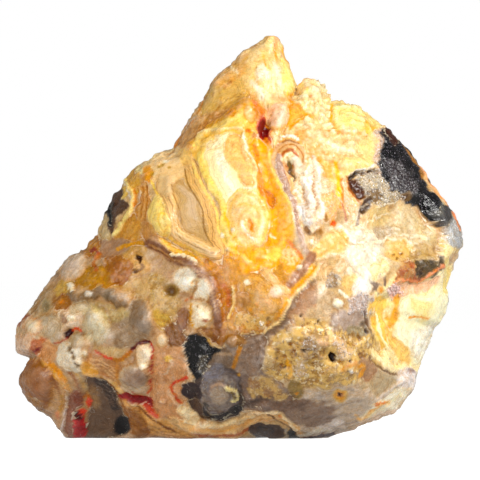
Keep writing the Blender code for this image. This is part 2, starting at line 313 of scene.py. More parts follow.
# %% The banded panel
area("left of the panel", (95, 84, 67), "146,168 158,152 174,148 186,152 184,166 170,176 160,182 150,182")
line("yellow margin", (98, 90, 72), 4, "138,178 144,167 156,154 172,148", edge=3, share=0.7)
area("cream shoulder", (97, 91, 72), "136,166 141,163 145,168 142,174 137,173", edge=3)
area("amber knot", (88, 66, 28), "143,168 150,166 152,176 148,184 143,178", edge=3)
area("brown stripes left of the panel", (80, 64, 46), "134,178 142,176 148,186 152,200 148,216 151,228 "
    "144,240 130,232 134,212 138,196")
area("panel", (86, 73, 55), "155,183 162,168 176,157 190,153 198,163 205,182 214,202 219,220 223,239 "
    "229,250 222,260 207,260 189,253 172,240 168,226 165,210 157,194", edge=2.5, ragged=0.15, rise=0.1,
    layers=0.85, even=1)
area("right bands", (85, 71, 52), "187,166 194,164 203,184 214,205 219,227 226,246 217,250 209,234 206,214 "
    "196,197 189,182", edge=2, ragged=0.2, layers=None, even=1)
area("upper part", (92, 81, 65), "158,178 168,162 184,157 188,168 180,182 172,196 163,194", edge=9,
    share=0.8, layers=0, even=0.5)
area("grey middle", (74, 64, 50), "174,190 182,180 188,184 195,197 203,212 205,229 211,245 196,238 183,231 "
    "178,212", edge=6, share=0.8, ragged=0.3, layers=0.3, even=1)
area("lilac", (83, 75, 67), "181,188 188,190 197,208 199,222 192,216 184,202", edge=6, share=0.6,
    layers=None, even=1)
line("dark line", (50, 38, 22), 1.2, "185.5,170 188,183 195.5,196.5 203,211 204.5,228 208,237 213.5,247",
    share=0.9, ragged=0.2)
line("left line", (56, 43, 28), 1, "171.5,184 174.5,197 180,210 182,222", share=0.8, ragged=0.2)
for shift in (0, 3.4, 6.8):
    line("pale lamina", (94, 85, 69), 1.4, ((175 - shift, 218), (179 - shift, 230 + 0.5 * shift),
        (191 - 0.5 * shift, 237 + 0.9 * shift), (203 - 0.5 * shift, 244 + 0.9 * shift),
        (210, 249 + 0.8 * shift)), share=0.7, ragged=0.2)
line("cream seam", (91, 78, 57), 2.2, "190,164 194,177 200,188 208,200 213,212 215,228 222,246", share=0.75,
    ragged=0.3)
line("yellow seam", (98, 86, 58), 3, "193,163 198,177 203,186 211.4,200 216,210 218,220 219,231 224,241 "
    "229,249", ragged=0.4)
area("cream panel", (99, 93, 76), "202,156 212,148 232,142 243,148 248,162 256,172 257,186 268,206 269,226 "
    "262,242 246,248 232,246 225,228 224,212 214,190 206,172", edge=3, even=0.8)
line("golden seam", (97, 86, 55), 6, "200,154 204,171 211,186 220.5,201 224.6,213 223,221 225,234 233,248",
    edge=2.5, rise=0.15)
line("golden seam, light", (98, 88, 58), 2, "206,160 209,174 217,188 226,203 229,214", share=0.8)
line("orange foot", (92, 78, 50), 3, "170,237 177,242 190,248 200,254.4 207,259")
area("golden foot of the panel", (95, 80, 48), "150,220 157,234 168,240 182,247 198,256 206,262 196,261 "
    "178,253 163,245 152,232", edge=3.5, rise=0.2)
area("yellow blob", (98, 88, 60), "151,204 157,197 163,200 168,213 171,228 168,237 160,236 154,226 149,219",
    edge=3, rise=0.35, gloss=0.7)
eye("yellow blob, cream oval", (164.5, 222), (4.5, 9), ((0, (99, 92, 70)), (0.7, (98, 88, 60)),
    (1, (95, 78, 42))), turn=8)
line("yellow thread", (97, 85, 52), 2.2, "151,180 155,188 160,197", edge=2)
spots("olive spot", "160,167 163,165 169.5,168 152.5,173", (2.2, 1.8), (58, 48, 24), GOLD_TAN, share=0.8)
spots("white spot", "166.6,161.5", (3.2, 2), WHITE, CREAM, share=0.9)
area("gold above the panel", (97, 83, 58), "180,150 192,150 194,164 184,163", share=0.8)

# %% The cream panel and the orb in it
line("cream highlight", (99, 97, 88), 10, "219,155 224,170 230,183 235,197", edge=6, share=0.9)
area("peach patch", (95, 79, 57), "228,137 241,135 250,147 254,158 257,172 253,187 243,184 235,174 228,163 "
    "223,151", edge=3, ragged=0.6, layers=0.3)
line("peach patch, white border", WHITE, 1.8, "243,135 247,148 254,163 257,175 254,187 245,188", share=0.85,
    ragged=0.8, rise=0.1)
line("scalloped edge", (96, 82, 60), 2.2, "242,135 244,147 246,160 251,157 255,170 253,176 255,186 249,189",
    share=0.85, ragged=1.4, rise=0.2)
line("cream under the patch", (99, 95, 84), 3, "236,186 242,190 250,190 257,194", edge=2)
eye("orb", (248, 217), (21, 29), ((0, (91, 68, 40)), (0.1, (93, 72, 46)), (0.28, (95, 83, 64)),
    (0.5, (94, 80, 60)), (0.68, (96, 85, 66)), (0.84, (95, 80, 54)), (0.94, (98, 90, 72)),
    (1, (95, 78, 42))), turn=14, edge=2, rise=0.1)
eye("core", (249, 225), (13, 17), ((0, (90, 62, 30)), (0.25, (94, 74, 48)), (0.5, (96, 84, 66)),
    (0.75, (93, 77, 56)), (1, (96, 85, 68))), turn=20, edge=4, share=0.9)
spots("orange slot", "250.5,226", (3.5, 8), (84, 56, 22), (94, 74, 46), turn=22, edge=2, rise=-0.35)
line("white streak", WHITE, 2.4, "241,223 244,228 246.5,232", rise=0.15)
line("lower streak", WHITE, 2, "247.8,235 251,238 255,240")
line("rim", (97, 80, 48), 2, "256,192 264,202 268.6,212 267.8,225 264,234 260,241", share=0.85)
line("pale ring", (98, 90, 76), 1.6, "238,194 250,198 260,206 263,220 259,234 248,243 238,240", share=0.6)
line("gold ring", (93, 73, 44), 1.5, "236,208 244,204 255,208 259,220 256,233", share=0.5)
line("left of the orb", (95, 76, 38), 3.5, "226,214 229,228 234,238 242,246", edge=2.5, share=0.8)
spots("white bead", "233,231 229,249 236,257 222,236", (2.4, 2.4), WHITE, CREAM, share=0.85, rise=0.2)

# %% [markdown]
# Iron coloured the cracks beside the panel, and the layers next to them tore into strands.
# Strands are ridges and furrows with very ragged edges, because a clean line would look carved.

# %% The orange vein
area("orange vein", (95, 74, 36), "251,140 262,138 268,154 273,168 278,184 289,200 294,220 292,244 276,262 "
    "262,252 266,236 270,216 264,200 258,188 257,170 252,156")
line("upper", (89, 63, 26), 5, "255,146 258,163 260,177 263,190", edge=3)
area("deep", (86, 61, 22), "257,186 266,190 275,200 273,210 268,206 262,198", rise=-0.2)
line("light rim", (98, 88, 56), 3.4, "268.6,154 273,170 277,182 286,196 293,212 294,226", edge=2.5)
line("gold shoulder", (95, 74, 34), 5, "271,176 278,194 285,210 286,224", edge=4, share=0.7)
eye("orange pool", (281, 226), (9, 10), ((0, (94, 68, 26)), (0.6, (94, 70, 30)), (1, (95, 78, 42))), edge=3)
line("white crack", WHITE, 2, "270,235 274,238", share=0.9)
area("yellow low field", (94, 72, 36), "230,246 246,248 262,244 276,246 282,262 268,272 250,276 236,270 "
    "228,258", edge=5)
area("pale yellow pool", (97, 83, 50), "268,246 278,244 284,252 278,260 270,257")
line("white drip", (97, 83, 52), 3, "230,250 240,254 248,263", edge=2, share=0.85, rise=0.15)
line("orange run", (93, 70, 30), 4, "264,252 256,262 249,271", edge=3, share=0.8)
area("orange block", (95, 72, 32), "284,242 292,248 300,257 297,266 288,274 282,266 284,254", edge=3)
line("deep orange streak", (90, 60, 20), 4, "287,240 295,250 301,257", edge=2)
area("white fan", (97, 91, 76), "283,248 290,249 298,258 294,264 285,262", edge=2.5, share=0.85)
for shift in (0, 4, 8):
    line("fan rib", (90, 64, 34), 1.1, ((285 + shift, 250 + shift * 0.5), (287 + shift, 263 + shift * 0.2)),
        share=0.7)

# %% The ringed lobe and the torn strands under it
area("peach below the lobe", (93, 73, 53), "296,128 320,132 336,142 336,160 322,172 306,164 300,150",
    edge=6)
area("rough pinkish white", (93, 85, 75), "298,158 314,160 325,174 328,200 324,228 306,228 300,200 300,180",
    edge=6, ragged=2, rise=0.1, frost=0.6)
for shift, drop in ((0, 0), (10, 6), (21, -3)):
    line("white ridge", (98, 95, 91), 4.5, ((293 + shift, 160 + drop), (298 + shift, 176 + drop),
        (299 + 0.9 * shift, 196 + drop), (306 + 0.7 * shift, 219)), edge=3.5, share=0.7, ragged=2.4,
        rise=0.25, frost=0.7)
for shift, drop in ((5, 4), (16, 9)):
    line("mauve furrow", (77, 64, 56), 2.4, ((295 + shift, 162 + drop), (296 + shift, 178 + drop),
        (302 + 0.9 * shift, 194 + drop), (303 + 0.7 * shift, 213)), edge=3, share=0.5, ragged=2.4,
        rise=-0.15)
area("gold beside the strand", (92, 74, 46), "316,156 328,162 332,178 322,176", edge=5, share=0.8)
eye("ringed lobe", (289, 159), (19, 20), ((0, CREAM), (0.3, CREAM), (0.38, (65, 39, 16)),
    (0.46, (67, 41, 20)), (0.54, (88, 74, 57)), (0.64, (87, 72, 56)), (0.7, (69, 48, 30)),
    (0.76, (87, 73, 57)), (0.88, (89, 77, 66)), (1, (87, 67, 41))), edge=3, ragged=0.6)
line("white cap", WHITE, 3, "280,140 284,137 291,137 298,140", rise=0.15, dashes=2.5)
line("brown dashes", (55, 38, 24), 1.4, "282,142.6 287,141 293,142.5 298,143.4", share=0.8, dashes=2.5)
area("mauve", (72, 62, 58), "276,154 282,156 286,172 292,188 298,204 300,224 304,242 298,240 294,222 "
    "290,204 280,184 276,168", edge=3, frost=0.5)
line("white line", (91, 76, 60), 2, "282,158 285,172 290,184", share=0.85)
area("dark pit", (34, 28, 20), "286,160 290,164 292,172 296,182 292,180 288,170", edge=3, ragged=2,
    rise=-0.35, layers=0, crust=0.7)
line("olive ledge", (62, 52, 34), 3, "287,158 290,168 295,178 299,186", edge=2, share=0.6)
area("cream body", (93, 88, 80), "292,157 299,160 304,174 307,190 302,192 296,178", edge=2.5, rise=0.3)
# The white streaks, the white fan and the white V here are white quartz with a painted highlight on it.
line("white streak", WHITE, 6, "303,180 307,190 312,201", edge=2.5, rise=0.3)
line("upper white streak", WHITE, 3, "305,174 310,184", rise=0.2)
area("white fan low", (96, 93, 90), "297,206 304,204 310,216 318,208 317,222 311,233 304,226 298,216",
    edge=3, rise=0.2, frost=0.7)
line("white V, left", WHITE, 3.5, "297,209 303,219 310,232", rise=0.2)
line("white V, right", (96, 87, 74), 3.5, "318,209 315,219 311,232", rise=0.2)
area("brown in the V", (60, 48, 38), "303,226 307,227 309,233 304,234", edge=2.5)
spots("brown patch", "319,231", (5, 4), (52, 40, 26), (78, 62, 44), edge=2)
spots("white dot", "311.4,242.3", (2.5, 3), WHITE, CREAM, rise=0.2)
line("gold strand", (96, 78, 36), 4, "335,164 337,180 338,196", edge=3)
line("orange strand", (91, 56, 18), 2.6, "339.6,180 341.5,198 339,208", edge=2)
area("orange pink strand", (94, 77, 57), "328,190 338,198 338,210 330,222 322,216 324,200", edge=6,
    ragged=2.5, frost=0.5)
eye("orange red spot", (332.5, 224), (4, 4), ((0, (88, 45, 14)), (0.6, (86, 43, 14)), (1, (89, 62, 33))),
    edge=2)
spots("brown fleck", "324.7,218", (3, 4.5), (52, 38, 20), (80, 64, 44), edge=2)
area("lilac streaks", (91, 79, 66), "343,184 350,188 356,206 360,222 352,228 346,212", edge=3, share=0.85,
    frost=0.6)
line("lilac streak, pink", (72, 50, 46), 2, "341,204 344,214 346,222", share=0.7)
line("lilac streak, orange", (92, 66, 40), 2.2, "346,182 352,196 356,204", share=0.8)

# %% The pale shoulder and the cream block
area("pale yellow block", (98, 91, 66), "331,104 343,101 354,104 368,113 381,123 377,130 367,134 358,130 "
    "348,128 335,130 331,117", edge=3, rise=0.1, jagged=0.5)
area("gold", (96, 80, 42), "364,120 372,124 376,130 368,134 364,128", edge=3, share=0.8)
area("dip of the outline", (96, 90, 74), "318,76 328,76 340,92 336,101 324,98 318,88", share=0.5, rise=-1.3,
    jagged=1)
line("left rim", (95, 74, 34), 2.4, "332,102 331,112 332,122 336,130", share=0.9)
line("lower rim", (90, 66, 36), 2, "336,131 347,134 358,134 368,136", share=0.7)
spots("gold nub", "288,92 329,99 344,102 306,90 302,86", (3.4, 2.6), (96, 74, 28), (97, 88, 62), edge=2,
    rise=0.2)
spots("orange dot", "347,135 337,133 328,131 304,89 312,95", (1.8, 1.4), (74, 40, 14), (92, 72, 42),
    share=0.85)
area("white slope", (96, 89, 76), "306,132 318,132 332,140 350,144 352,152 334,152 316,144", edge=5,
    share=0.7)
area("cream tongue", (98, 87, 64), "341,158 352,156 366,160 374,164.6 364,168.5 354,171 347,178 341,170",
    edge=2.5, rise=0.45)
line("cream tongue, lower edge", WHITE, 2.2, "374,166 364,169 355,172 348,178", rise=0.2)
line("tongue, dark shade", (26, 20, 15), 3, "348.5,179 355,174 363.6,172.6 371,171 376,173", edge=2,
    rise=-0.5)
area("pinkish grains", (90, 80, 76), "375,132 384,130 386,148 384,164 376,160 374,146", frost=0.9,
    druse=0.3)
area("gold grains", (97, 86, 64), "360,138 374,134 376,152 370,160 360,152", edge=5, share=0.7)

# %% The recess under the crest
area("sparkling", (72, 66, 55), "356,174 374,170 390,172 400,184 404,202 388,208 372,204 362,192",
    rise=-0.2, frost=1, druse=1)
area("olive", (45, 37, 27), "366,192 376,190 382,198 372,203 365,200", share=0.85, layers=0)
area("brown left", (30, 17, 8), "349,180 356,179 362,186 364,196 358,197 350,190", rise=-0.5, layers=0,
    crust=0.6)
line("brown rim", (62, 40, 20), 2.4, "346,178 349,188 356,198 362,206", share=0.8)
area("dark foot", (27, 19, 12), "364,197 371,199 369,208 363,215 359,210", edge=2.5, rise=-0.4, layers=0)
line("grey streak", (46, 42, 40), 3.5, "362,206 358,216 356,226", share=0.7)
area("khaki slope", (84, 77, 65), "370,210 388,206 410,204 430,226 444,242 430,256 402,250 376,244 364,232",
    edge=6)
area("khaki slope, gold", (86, 76, 50), "366,210 384,206 390,216 376,226 366,222", edge=6, share=0.3)
area("khaki slope, grey", (80, 74, 63), "388,220 408,216 410,234 392,236", edge=6, share=0.8)
area("khaki slope, green", (74, 68, 50), "414,214 424,222 438,236 430,242 416,232", edge=5, share=0.3)
line("slope, pale contour", (97, 95, 88), 2.2, "378,243 390,235 406,234.5 418,237 428,240", edge=3.5,
    share=0.55, ragged=1.6, rise=0.15)
line("slope, pale crack", (96, 93, 86), 1.8, "408,212 412,221 411,234", edge=3, share=0.5, ragged=1.6)
line("slope, second contour", (95, 92, 84), 1.6, "372,236 384,228 392,218", edge=3, share=0.45, ragged=1.6)
for path in (((362, 240), (378, 232), (396, 228)), ((366, 246), (384, 240), (404, 240), (420, 246)),
    ((358, 232), (372, 219), (388, 213)), ((352, 226), (358, 212), (366, 204))):
    line("slope, white fibre", (98, 96, 92), 2.2, path, edge=3, share=0.55, ragged=1.8, rise=0.12)
area("slope, gold foot", (90, 77, 53), "384,244 398,241 412,246 408,258 392,260 384,254", edge=6,
    share=0.85, ragged=2.5, crumb=0.5)
area("slope, gold right", (95, 87, 62), "440,240 450,236 458,240 456,254 444,254")
spots("dark fleck", "392,256 400,254 440,258 396,259", (2.2, 1.4), (22, 16, 10), OCHRE, share=0.85)

# %% [markdown]
# Dark quartz full of tiny crystals covers the upper right, and white clear quartz lies under it.
# The crest, frost and druse numbers tell the material and the grains where the stone has to sparkle.

# %% The black crest
line("gold rim", (93, 70, 38), 4, "398,138 408,147 418,158 424,170", edge=2.5)
area("crest", (5.5, 5.5, 7.5), "382,129 388,124 394,132 402,140 408,148 416,157 420,165 424,174 427,183 "
    "434,194 441,200 449,206 453,217 452,226 445,235 441,228 435,222 428,223 420,213 413,205 404,199 "
    "396,190 387,182 380,172 378,160 379,148 380,138", edge=2, ragged=2, rise=0.15, layers=0, gloss=0.9,
    crest=1)
area("brown top", (28, 16, 9), "383,129 389,126 392,134 399,142 393,146 387,137", edge=2.5, share=0.9)
line("brown edge", (66, 50, 32), 2.6, "392,133 401,142 412,156 419,166 423,178", share=0.9)
area("grey face", (24, 22, 25), "382,160 394,158 406,168 418,188 410,199 394,186", edge=6, share=0.8,
    ragged=2.5, layers=0, frost=0.45, crest=0.6)
area("pale margin", (84, 74, 66), "376,132 381,134 381,150 380,166 384,180 376,168", share=0.85, ragged=2,
    frost=1, druse=0.4)
spots("brown spot", "407,196", (5, 4.5), (22, 14, 8), (52, 44, 32), edge=2.5)
line("teal vein", (60, 66, 64), 4, "443,204 441,211 438,219", edge=2, share=0.9, frost=1)
line("grey streaks", (20, 19, 21), 2.4, "396,152 404,164 414,178 424,196", edge=3, share=0.6)
area("grey", (62, 63, 65), "449,222 456,220 464,232 462,246 454,248 446,238", edge=3, frost=0.9)
area("dark", (30, 30, 32), "440,206 449,207 453,218 449,230 444,236 440,228", edge=3, share=0.8)
line("salmon rim", (96, 70, 50), 5, "422,168 429,179 435,187 443,195 450,203", edge=2, rise=0.2)
line("lower salmon", (93, 62, 46), 4.5, "451,205 456,216 461,225 463,232", edge=2)

# %% Around the white glare and the right margin
# The white glare and its pale streaks are a painted highlight.
area("white glare", (97, 95, 91), "332,230 352,226 376,234 388,252 378,278 356,282 338,268 326,248",
    edge=20, share=0.9, ragged=2)
for turn, reach in ((10, 30), (38, 24), (66, 34), (95, 22), (120, 36), (148, 26), (172, 38), (200, 24),
    (228, 34), (255, 22), (282, 32), (310, 26), (336, 36)):
    away = (math.cos(math.radians(turn)), math.sin(math.radians(turn)))
    line("glare streak", (98, 92, 80), 2.6, ((354 + 6 * away[0], 254 + 6 * away[1]),
        (354 + 0.6 * reach * away[0] - 3, 254 + 0.6 * reach * away[1]),
        (354 + reach * away[0], 254 + reach * away[1])), edge=3, share=0.8, ragged=2.5, rise=0.12)
    line("glare shade", (70, 64, 56), 2, ((354 + 12 * away[1], 254 - 12 * away[0]),
        (354 + 0.8 * reach * away[0] + 5, 254 + 0.8 * reach * away[1] + 4)), edge=4, share=0.35, ragged=3)
area("cream middle", (94, 80, 58), "322,236 338,230 350,240 338,254 326,254 316,262 312,250", edge=5)
line("cream vein", (94, 80, 55), 2.8, "334,250 325,254 320,258 317,265 312,275", rise=0.2)
line("mauve vein, upper", (72, 62, 56), 6, "300,234 302,244 308,254", edge=3, share=0.9)
line("mauve vein", (66, 52, 44), 9, "311.5,256 305,266 297,275 290,284", edge=3, rise=-0.15)
line("mauve vein, light middle", (82, 72, 66), 2, "308,262 300,271 292,280", share=0.6)
line("orange beside it", (92, 70, 36), 5, "312,267 308,275 301,282", edge=2.5)
spots("white bead on the vein", "297.7,267.2", (3, 2.6), WHITE, CREAM, rise=0.25)
line("grey vein", (60, 54, 50), 11, "312,284 303,292 296,305 289,314 278,326 266,337", edge=3.5, rise=-0.1)
line("grey vein, dark middle", (48, 42, 38), 4, "306,292 298,304 290,315 280,325", edge=4, share=0.6)
line("cream border", (91, 79, 57), 3, "312,277 303,284 295,293 289,302 284,313 278,321 268,328 258,338",
    rise=0.25)
line("gold inside the border", (92, 70, 38), 5, "300,282 292,290 285,302 279,314", edge=3, share=0.8)
area("greyish cream", (83, 73, 59), "318,262 336,258 346,268 336,278 320,280", edge=5)
area("light beige", (78, 70, 60), "304,296 322,290 338,296 338,316 318,320 304,316", edge=5)
area("pale pink", (90, 82, 73), "312,284 324,281 330,288 322,296 312,294", share=0.85)
area("mauve inside the border", (68, 56, 48), "307,283 314,287 316,297 309,309 300,320 290,330 283,331 "
    "288,319 295,305 301,293", share=0.85, ragged=2)
area("grey crystals", (52, 45, 38), "328,274 336,275 338,284 330,288 324,282", edge=3, share=0.6,
    ragged=2.5, druse=0.4, frost=0.7)
area("gold patch", (93, 82, 58), "342,277 352,274 357,281 352,291 344,291", edge=6, share=0.7, ragged=2.5)
area("white ledge", (97, 95, 92), "356,278 366,278 370,290 360,296 352,292")
eye("white lump", (337, 303), (5.5, 4.5), ((0, WHITE), (0.7, CREAM), (1, PALE_GREY)), rise=0.5)
line("white streak right of it", (96, 93, 86), 2.6, "338,291 348,298", share=0.9, rise=0.2)
area("lilac crystals", (74, 68, 68), "352,294 368,292 371,306 366,318 352,316 346,306", edge=6, share=0.85,
    ragged=2.5, druse=0.5, frost=1)
area("mauve clear patch", (66, 60, 57), "330,316 350,310 368,314 366,328 350,332 334,330", edge=8, ragged=2,
    gloss=0.7)
area("purple shade", (40, 34, 34), "370,278 377,278 378,290 371,292", share=0.7, ragged=2.5)
line("purple stroke", (38, 32, 32), 2.2, "384,276 384,285", share=0.8)
area("yellow cream", (96, 90, 74), "372,262 384,262 388,272 378,277 370,272", edge=6, ragged=2)
spots("orange by the block", "380,290", (3.5, 4), (92, 62, 30), (95, 80, 56), edge=2)
spots("shade by the block", "362,323", (4, 4.5), (26, 20, 16), GREY, edge=2.5)
area("green lens", (56, 53, 46), "346,328 358,326 369,329 366,336 350,337", edge=3, share=0.9)
line("shade under the block", (28, 20, 15), 2.6, "364,312 367,324 372,333 372,343", edge=2, share=0.5,
    rise=-0.3)
area("grey speckle", (72, 66, 58), "374,226 388,226 392,236 380,240 372,235", share=0.7, frost=0.6)

# %% The right block
area("khaki under the crest", (66, 57, 44), "408,250 424,242 440,246 436,260 420,266 406,262", edge=7,
    ragged=2.5, crumb=0.4)
area("orange brown", (62, 38, 17), "402,264 414,262 424,268 418,279 404,280 396,278", edge=6, ragged=2.5,
    crust=0.6, crumb=0.35)
area("black moss", (13, 11, 9), "416,262 426,259 434,262 440,254 445,259 441,268 432,276 420,277 414,270",
    share=0.75, ragged=3, rise=-0.2, layers=0, crust=0.8)
line("orange rim", (92, 58, 22), 2.8, "392,282 400,280 409,279.5 419,280.5 431,274 443,265", share=0.95,
    rise=0.15)
area("pink band", (96, 82, 72), "394,283 408,282 421,283 434,277 441,276 432,288 418,292 403,297 393,297",
    edge=2)
area("pink crystals", (90, 76, 74), "388,286 397,285 400,294 394,299 388,295", edge=3, druse=1, frost=0.9)
area("yellow face", (99, 97, 84), "399,298 418,294 432,291 446,284 450,300 444,322 434,340 424,356 412,366 "
    "406,350 394,338 392,326 397,311", edge=5, rise=0.2, even=0.6)
area("deep yellow", (99, 91, 66), "408,300 420,297 430,300 430,314 418,318 408,314", edge=9, share=0.8,
    even=0.6)
line("orange line", (92, 62, 26), 2, "408,317 416,316 426,317.5", share=0.85)
line("orange streak", (94, 69, 36), 8, "395,298 394,311 389,324", edge=6, share=0.85, ragged=2)
area("peach wedge", (96, 82, 56), "383,322 394,336 408,348 408,364 396,356 386,341", edge=3)
area("left margin", (98, 85, 54), "370,300 380,296 388,302 384,322 386,346 376,346 372,326", ragged=2)
line("cream line", (99, 95, 80), 2.4, "374,312 377,324 380,336 387,348", rise=0.15)
# The white corner is a painted highlight on the yellow face of the block.
area("white highlight of the block", (99, 98, 94), "414,330 430,322 436,330 424,354 412,358 408,344", edge=5, share=0.8)
line("grey lip", (60, 58, 58), 2.6, "448,296 447,306 445,315", share=0.7)
line("gold edge", (98, 90, 62), 5, "446,254 448,272 446,292", edge=3, share=0.8)
line("lower lip", (97, 90, 72), 6, "370,350 382,361 393,368 404,367 412,372", edge=2.5, rise=0.3)
line("shade under the lip", (42, 34, 28), 3, "368,356 380,367 392,374 402,373", edge=2.5, share=0.75,
    rise=-0.2)
spots("dark speck", "393,361 397,363 388,358", (1.8, 1.1), (30, 30, 32), CREAM, share=0.85)

# %% [markdown]
# The lower half is clear grey agate with a crumbling ochre crust on it. The crust is made of soft nodules
# and hollows one over another, and the material adds the crumbs, which are too fine to draw.

# %% The right foot
area("khaki foot", (72, 66, 57), "366,364 384,372 398,378 396,390 376,394 362,384", edge=6)
area("mauve foot", (62, 50, 42), "358,358 370,358 378,370 368,378 356,370", edge=5, share=0.8)
area("lilac foot", (91, 88, 87), "396,370 412,370 418,384 406,392 396,384")
spots("shade at the corner", "410,370", (4, 3), (44, 36, 34), LILAC, edge=2)
# The peach foot is painted pale to stand for light thrown up from the floor: painted light on its own peach
# colour.
area("peach foot, painted light from below", (99, 96, 88), "378,398 394,390 410,388 406,400 392,410 374,416 358,420 364,410")
line("orange streak", (90, 58, 24), 3.4, "374,404 381,402 388,402", edge=2, dashes=4)
line("second streak", (97, 77, 50), 3, "355,415 362,419 370,412 380,404", edge=2.5, share=0.9)
line("yellow glow", (99, 93, 78), 4, "368,416 384,406 400,394", edge=4, share=0.7)
line("pale ledge", (90, 85, 82), 4, "376,398 390,388 404,380", edge=3, share=0.7, rise=0.2)
line("pink edge", (95, 85, 77), 2.4, "336,434 352,428 362,424 374,420 386,413 396,409", share=0.85)
line("pale edge", (92, 84, 76), 2.4, "350,424 366,418 382,411", share=0.8)
for start, end in (((296, 400), (352, 384)), ((304, 410), (360, 396)), ((316, 417), (350, 409)),
    ((330, 426), (356, 416)), ((276, 404), (330, 396))):
    middle = ((start[0] + end[0]) / 2, (start[1] + end[1]) / 2 - 2)
    line("pale streak", (84, 80, 77), 2.2, (start, middle, end), edge=2, share=0.6)
    lower = ((start[0], start[1] + 4), (middle[0], middle[1] + 4.5), (end[0], end[1] + 4))
    line("grey streak", (52, 48, 48), 3, lower, edge=3, share=0.35)
eye("hole with an orange ring", (339, 393.8), (7.5, 7), ((0, BLACK), (0.2, (13, 7, 4)),
    (0.34, (90, 66, 33)), (1, (85, 76, 58))), edge=3, rise=-0.1)
spots("hole, black slot", "339,393.5", (2.8, 1.4), BLACK, OXBLOOD, turn=-25, edge=1, rise=-0.5)
spots("dark dot", "332,425.5", (2, 2.2), DARK_GREY, GREY, share=0.8)
area("white grey cloud", (96, 93, 92), "312,424 326,418 340,420 344,428 328,432", edge=5, share=0.8)

# %% The ochre crust
for middle, radii, colour in (((280, 343), (12, 8), (91, 79, 54)), ((292, 330), (10, 6), (80, 70, 56)),
    ((268, 360), (5, 14), (88, 80, 64)), ((306, 330), (8, 6), (82, 64, 34)),
    ((322, 340), (8, 5), (86, 60, 26)), ((300, 352), (8, 7), (85, 66, 34)),
    ((330, 372), (14, 7), (80, 66, 40)), ((352, 366), (10, 7), (90, 66, 24)),
    ((316, 374), (12, 8), (73, 60, 38)), ((288, 368), (5, 8), (91, 70, 28)),
    ((340, 340), (10, 4), (90, 66, 36)), ((346, 352), (8, 6), (88, 72, 44)),
    ((300, 320), (9, 5), (84, 68, 42)), ((264, 348), (6, 6), (90, 78, 56))):
    eye("crust nodule", middle, radii, ((0, colour), (0.6, colour), (1, (62, 46, 30))), edge=6, share=0.38,
        ragged=3, rise=0.2, crust=0.3, crumb=0.9)
for middle, radii, colour in (((278, 357), (5, 5), (68, 48, 28)), ((284, 364), (6, 4), (62, 44, 28)),
    ((294, 346), (6, 4), (80, 54, 22)), ((354, 340), (6, 5), (44, 35, 27)),
    ((322, 352), (5, 5), (66, 54, 40)), ((310, 360), (7, 4), (60, 48, 34)),
    ((340, 360), (5, 3), (78, 54, 24)), ((360, 352), (4, 4), (32, 22, 18)),
    ((304, 338), (4, 3), (50, 36, 22))):
    eye("crust hollow", middle, radii, ((0, colour), (1, OCHRE)), edge=5, share=0.7, ragged=3, rise=-0.35,
        crust=0.8, crumb=0.5)
area("brown crystals", (50, 41, 31), "304,337 311,334 317,340 316,349 308,350 302,344", edge=2.5, share=0.8,
    rise=0.2, druse=0.5, frost=1)
area("sparkling strand", (86, 78, 70), "296,360 302,360 305,372 300,376 295,370", edge=3, share=0.6,
    druse=0.5, frost=1)
area("pink sparkle", (89, 76, 60), "330,338 342,341 350,350 345,358 336,350", edge=3, share=0.6, druse=0.4,
    frost=1)
line("gold thread", (90, 72, 38), 3, "286,358 289,367 288,376", edge=2, ragged=1.5)
line("gold thread, right", (82, 62, 32), 4, "340,368 350,364 361,366 360,374", edge=3, ragged=1.5)
for place, radii in (((331, 356), (2.6, 4.2)), ((300, 315), (1.8, 1.6)), ((317, 321), (1.8, 1.4)),
    ((257, 357.5), (1.6, 1.2)), ((268, 318.6), (1.8, 1.8)), ((366, 331), (2, 3.5)), ((303, 350), (2, 2)),
    ((349, 360), (2, 1.4)), ((285, 366), (1.6, 1.4))):
    eye("crust hole", place, radii, ((0, (10, 7, 6)), (0.6, (20, 14, 11)), (1, (50, 38, 26))), turn=20,
        edge=1.2, rise=-0.6)
eye("white eye", (349.8, 370.4), (2.8, 3), ((0, DARK_GREY), (0.4, WHITE), (1, (70, 60, 48))), rise=0.2)

# %% The grey ground above the lip
area("grey mauve wedge", (56, 50, 47), "238,346 250,336 264,334 264,362 256,374 240,370", edge=5)
area("brown grey stripes", (54, 48, 46), "226,376 248,372 272,386 300,398 296,412 262,408 240,402 228,392",
    edge=6)
area("tan crust island", (66, 53, 38), "250,376 264,374 276,384 286,394 270,396 254,392", share=0.6,
    ragged=2, rise=0.1, crumb=1)
line("dark grey streak", (30, 26, 26), 7, "236,404 256,400 280,402 304,404", edge=7, share=0.75, ragged=2.5)
area("olive tan island", (56, 49, 34), "288,382 298,380 304,392 296,398 288,392", edge=3.5, share=0.8)
spots("yellow fleck", "296.5,393", (2, 1.6), AMBER, OCHRE)
line("yellow strand", (80, 60, 26), 3, "226,379 232,376 239,373", edge=2, share=0.9)
line("ochre strand", (74, 55, 30), 4, "240,346 236,358 234,366", edge=2.5)
line("pale thread", (84, 74, 56), 1.6, "212,340 219,346 226,345 230,338", share=0.9, rise=0.15)
area("brown above the thread", (58, 42, 22), "212,330 226,328 230,336 222,344 214,340", edge=3)
spots("grey brown lobe", "231.5,341", (4.5, 6), (36, 30, 28), (56, 48, 40), turn=-20, edge=2, rise=0.3)
area("grey under the lobe", (50, 44, 40), "212,350 226,346 234,354 230,366 216,370 208,362")
line("beige streak", (70, 62, 54), 3, "214,353 222,352 230,353", edge=2, share=0.8)
area("mauve over the lens", (50, 43, 40), "258,402 288,395 316,399 338,408 330,420 300,425 276,418", edge=8,
    share=0.75, ragged=2)

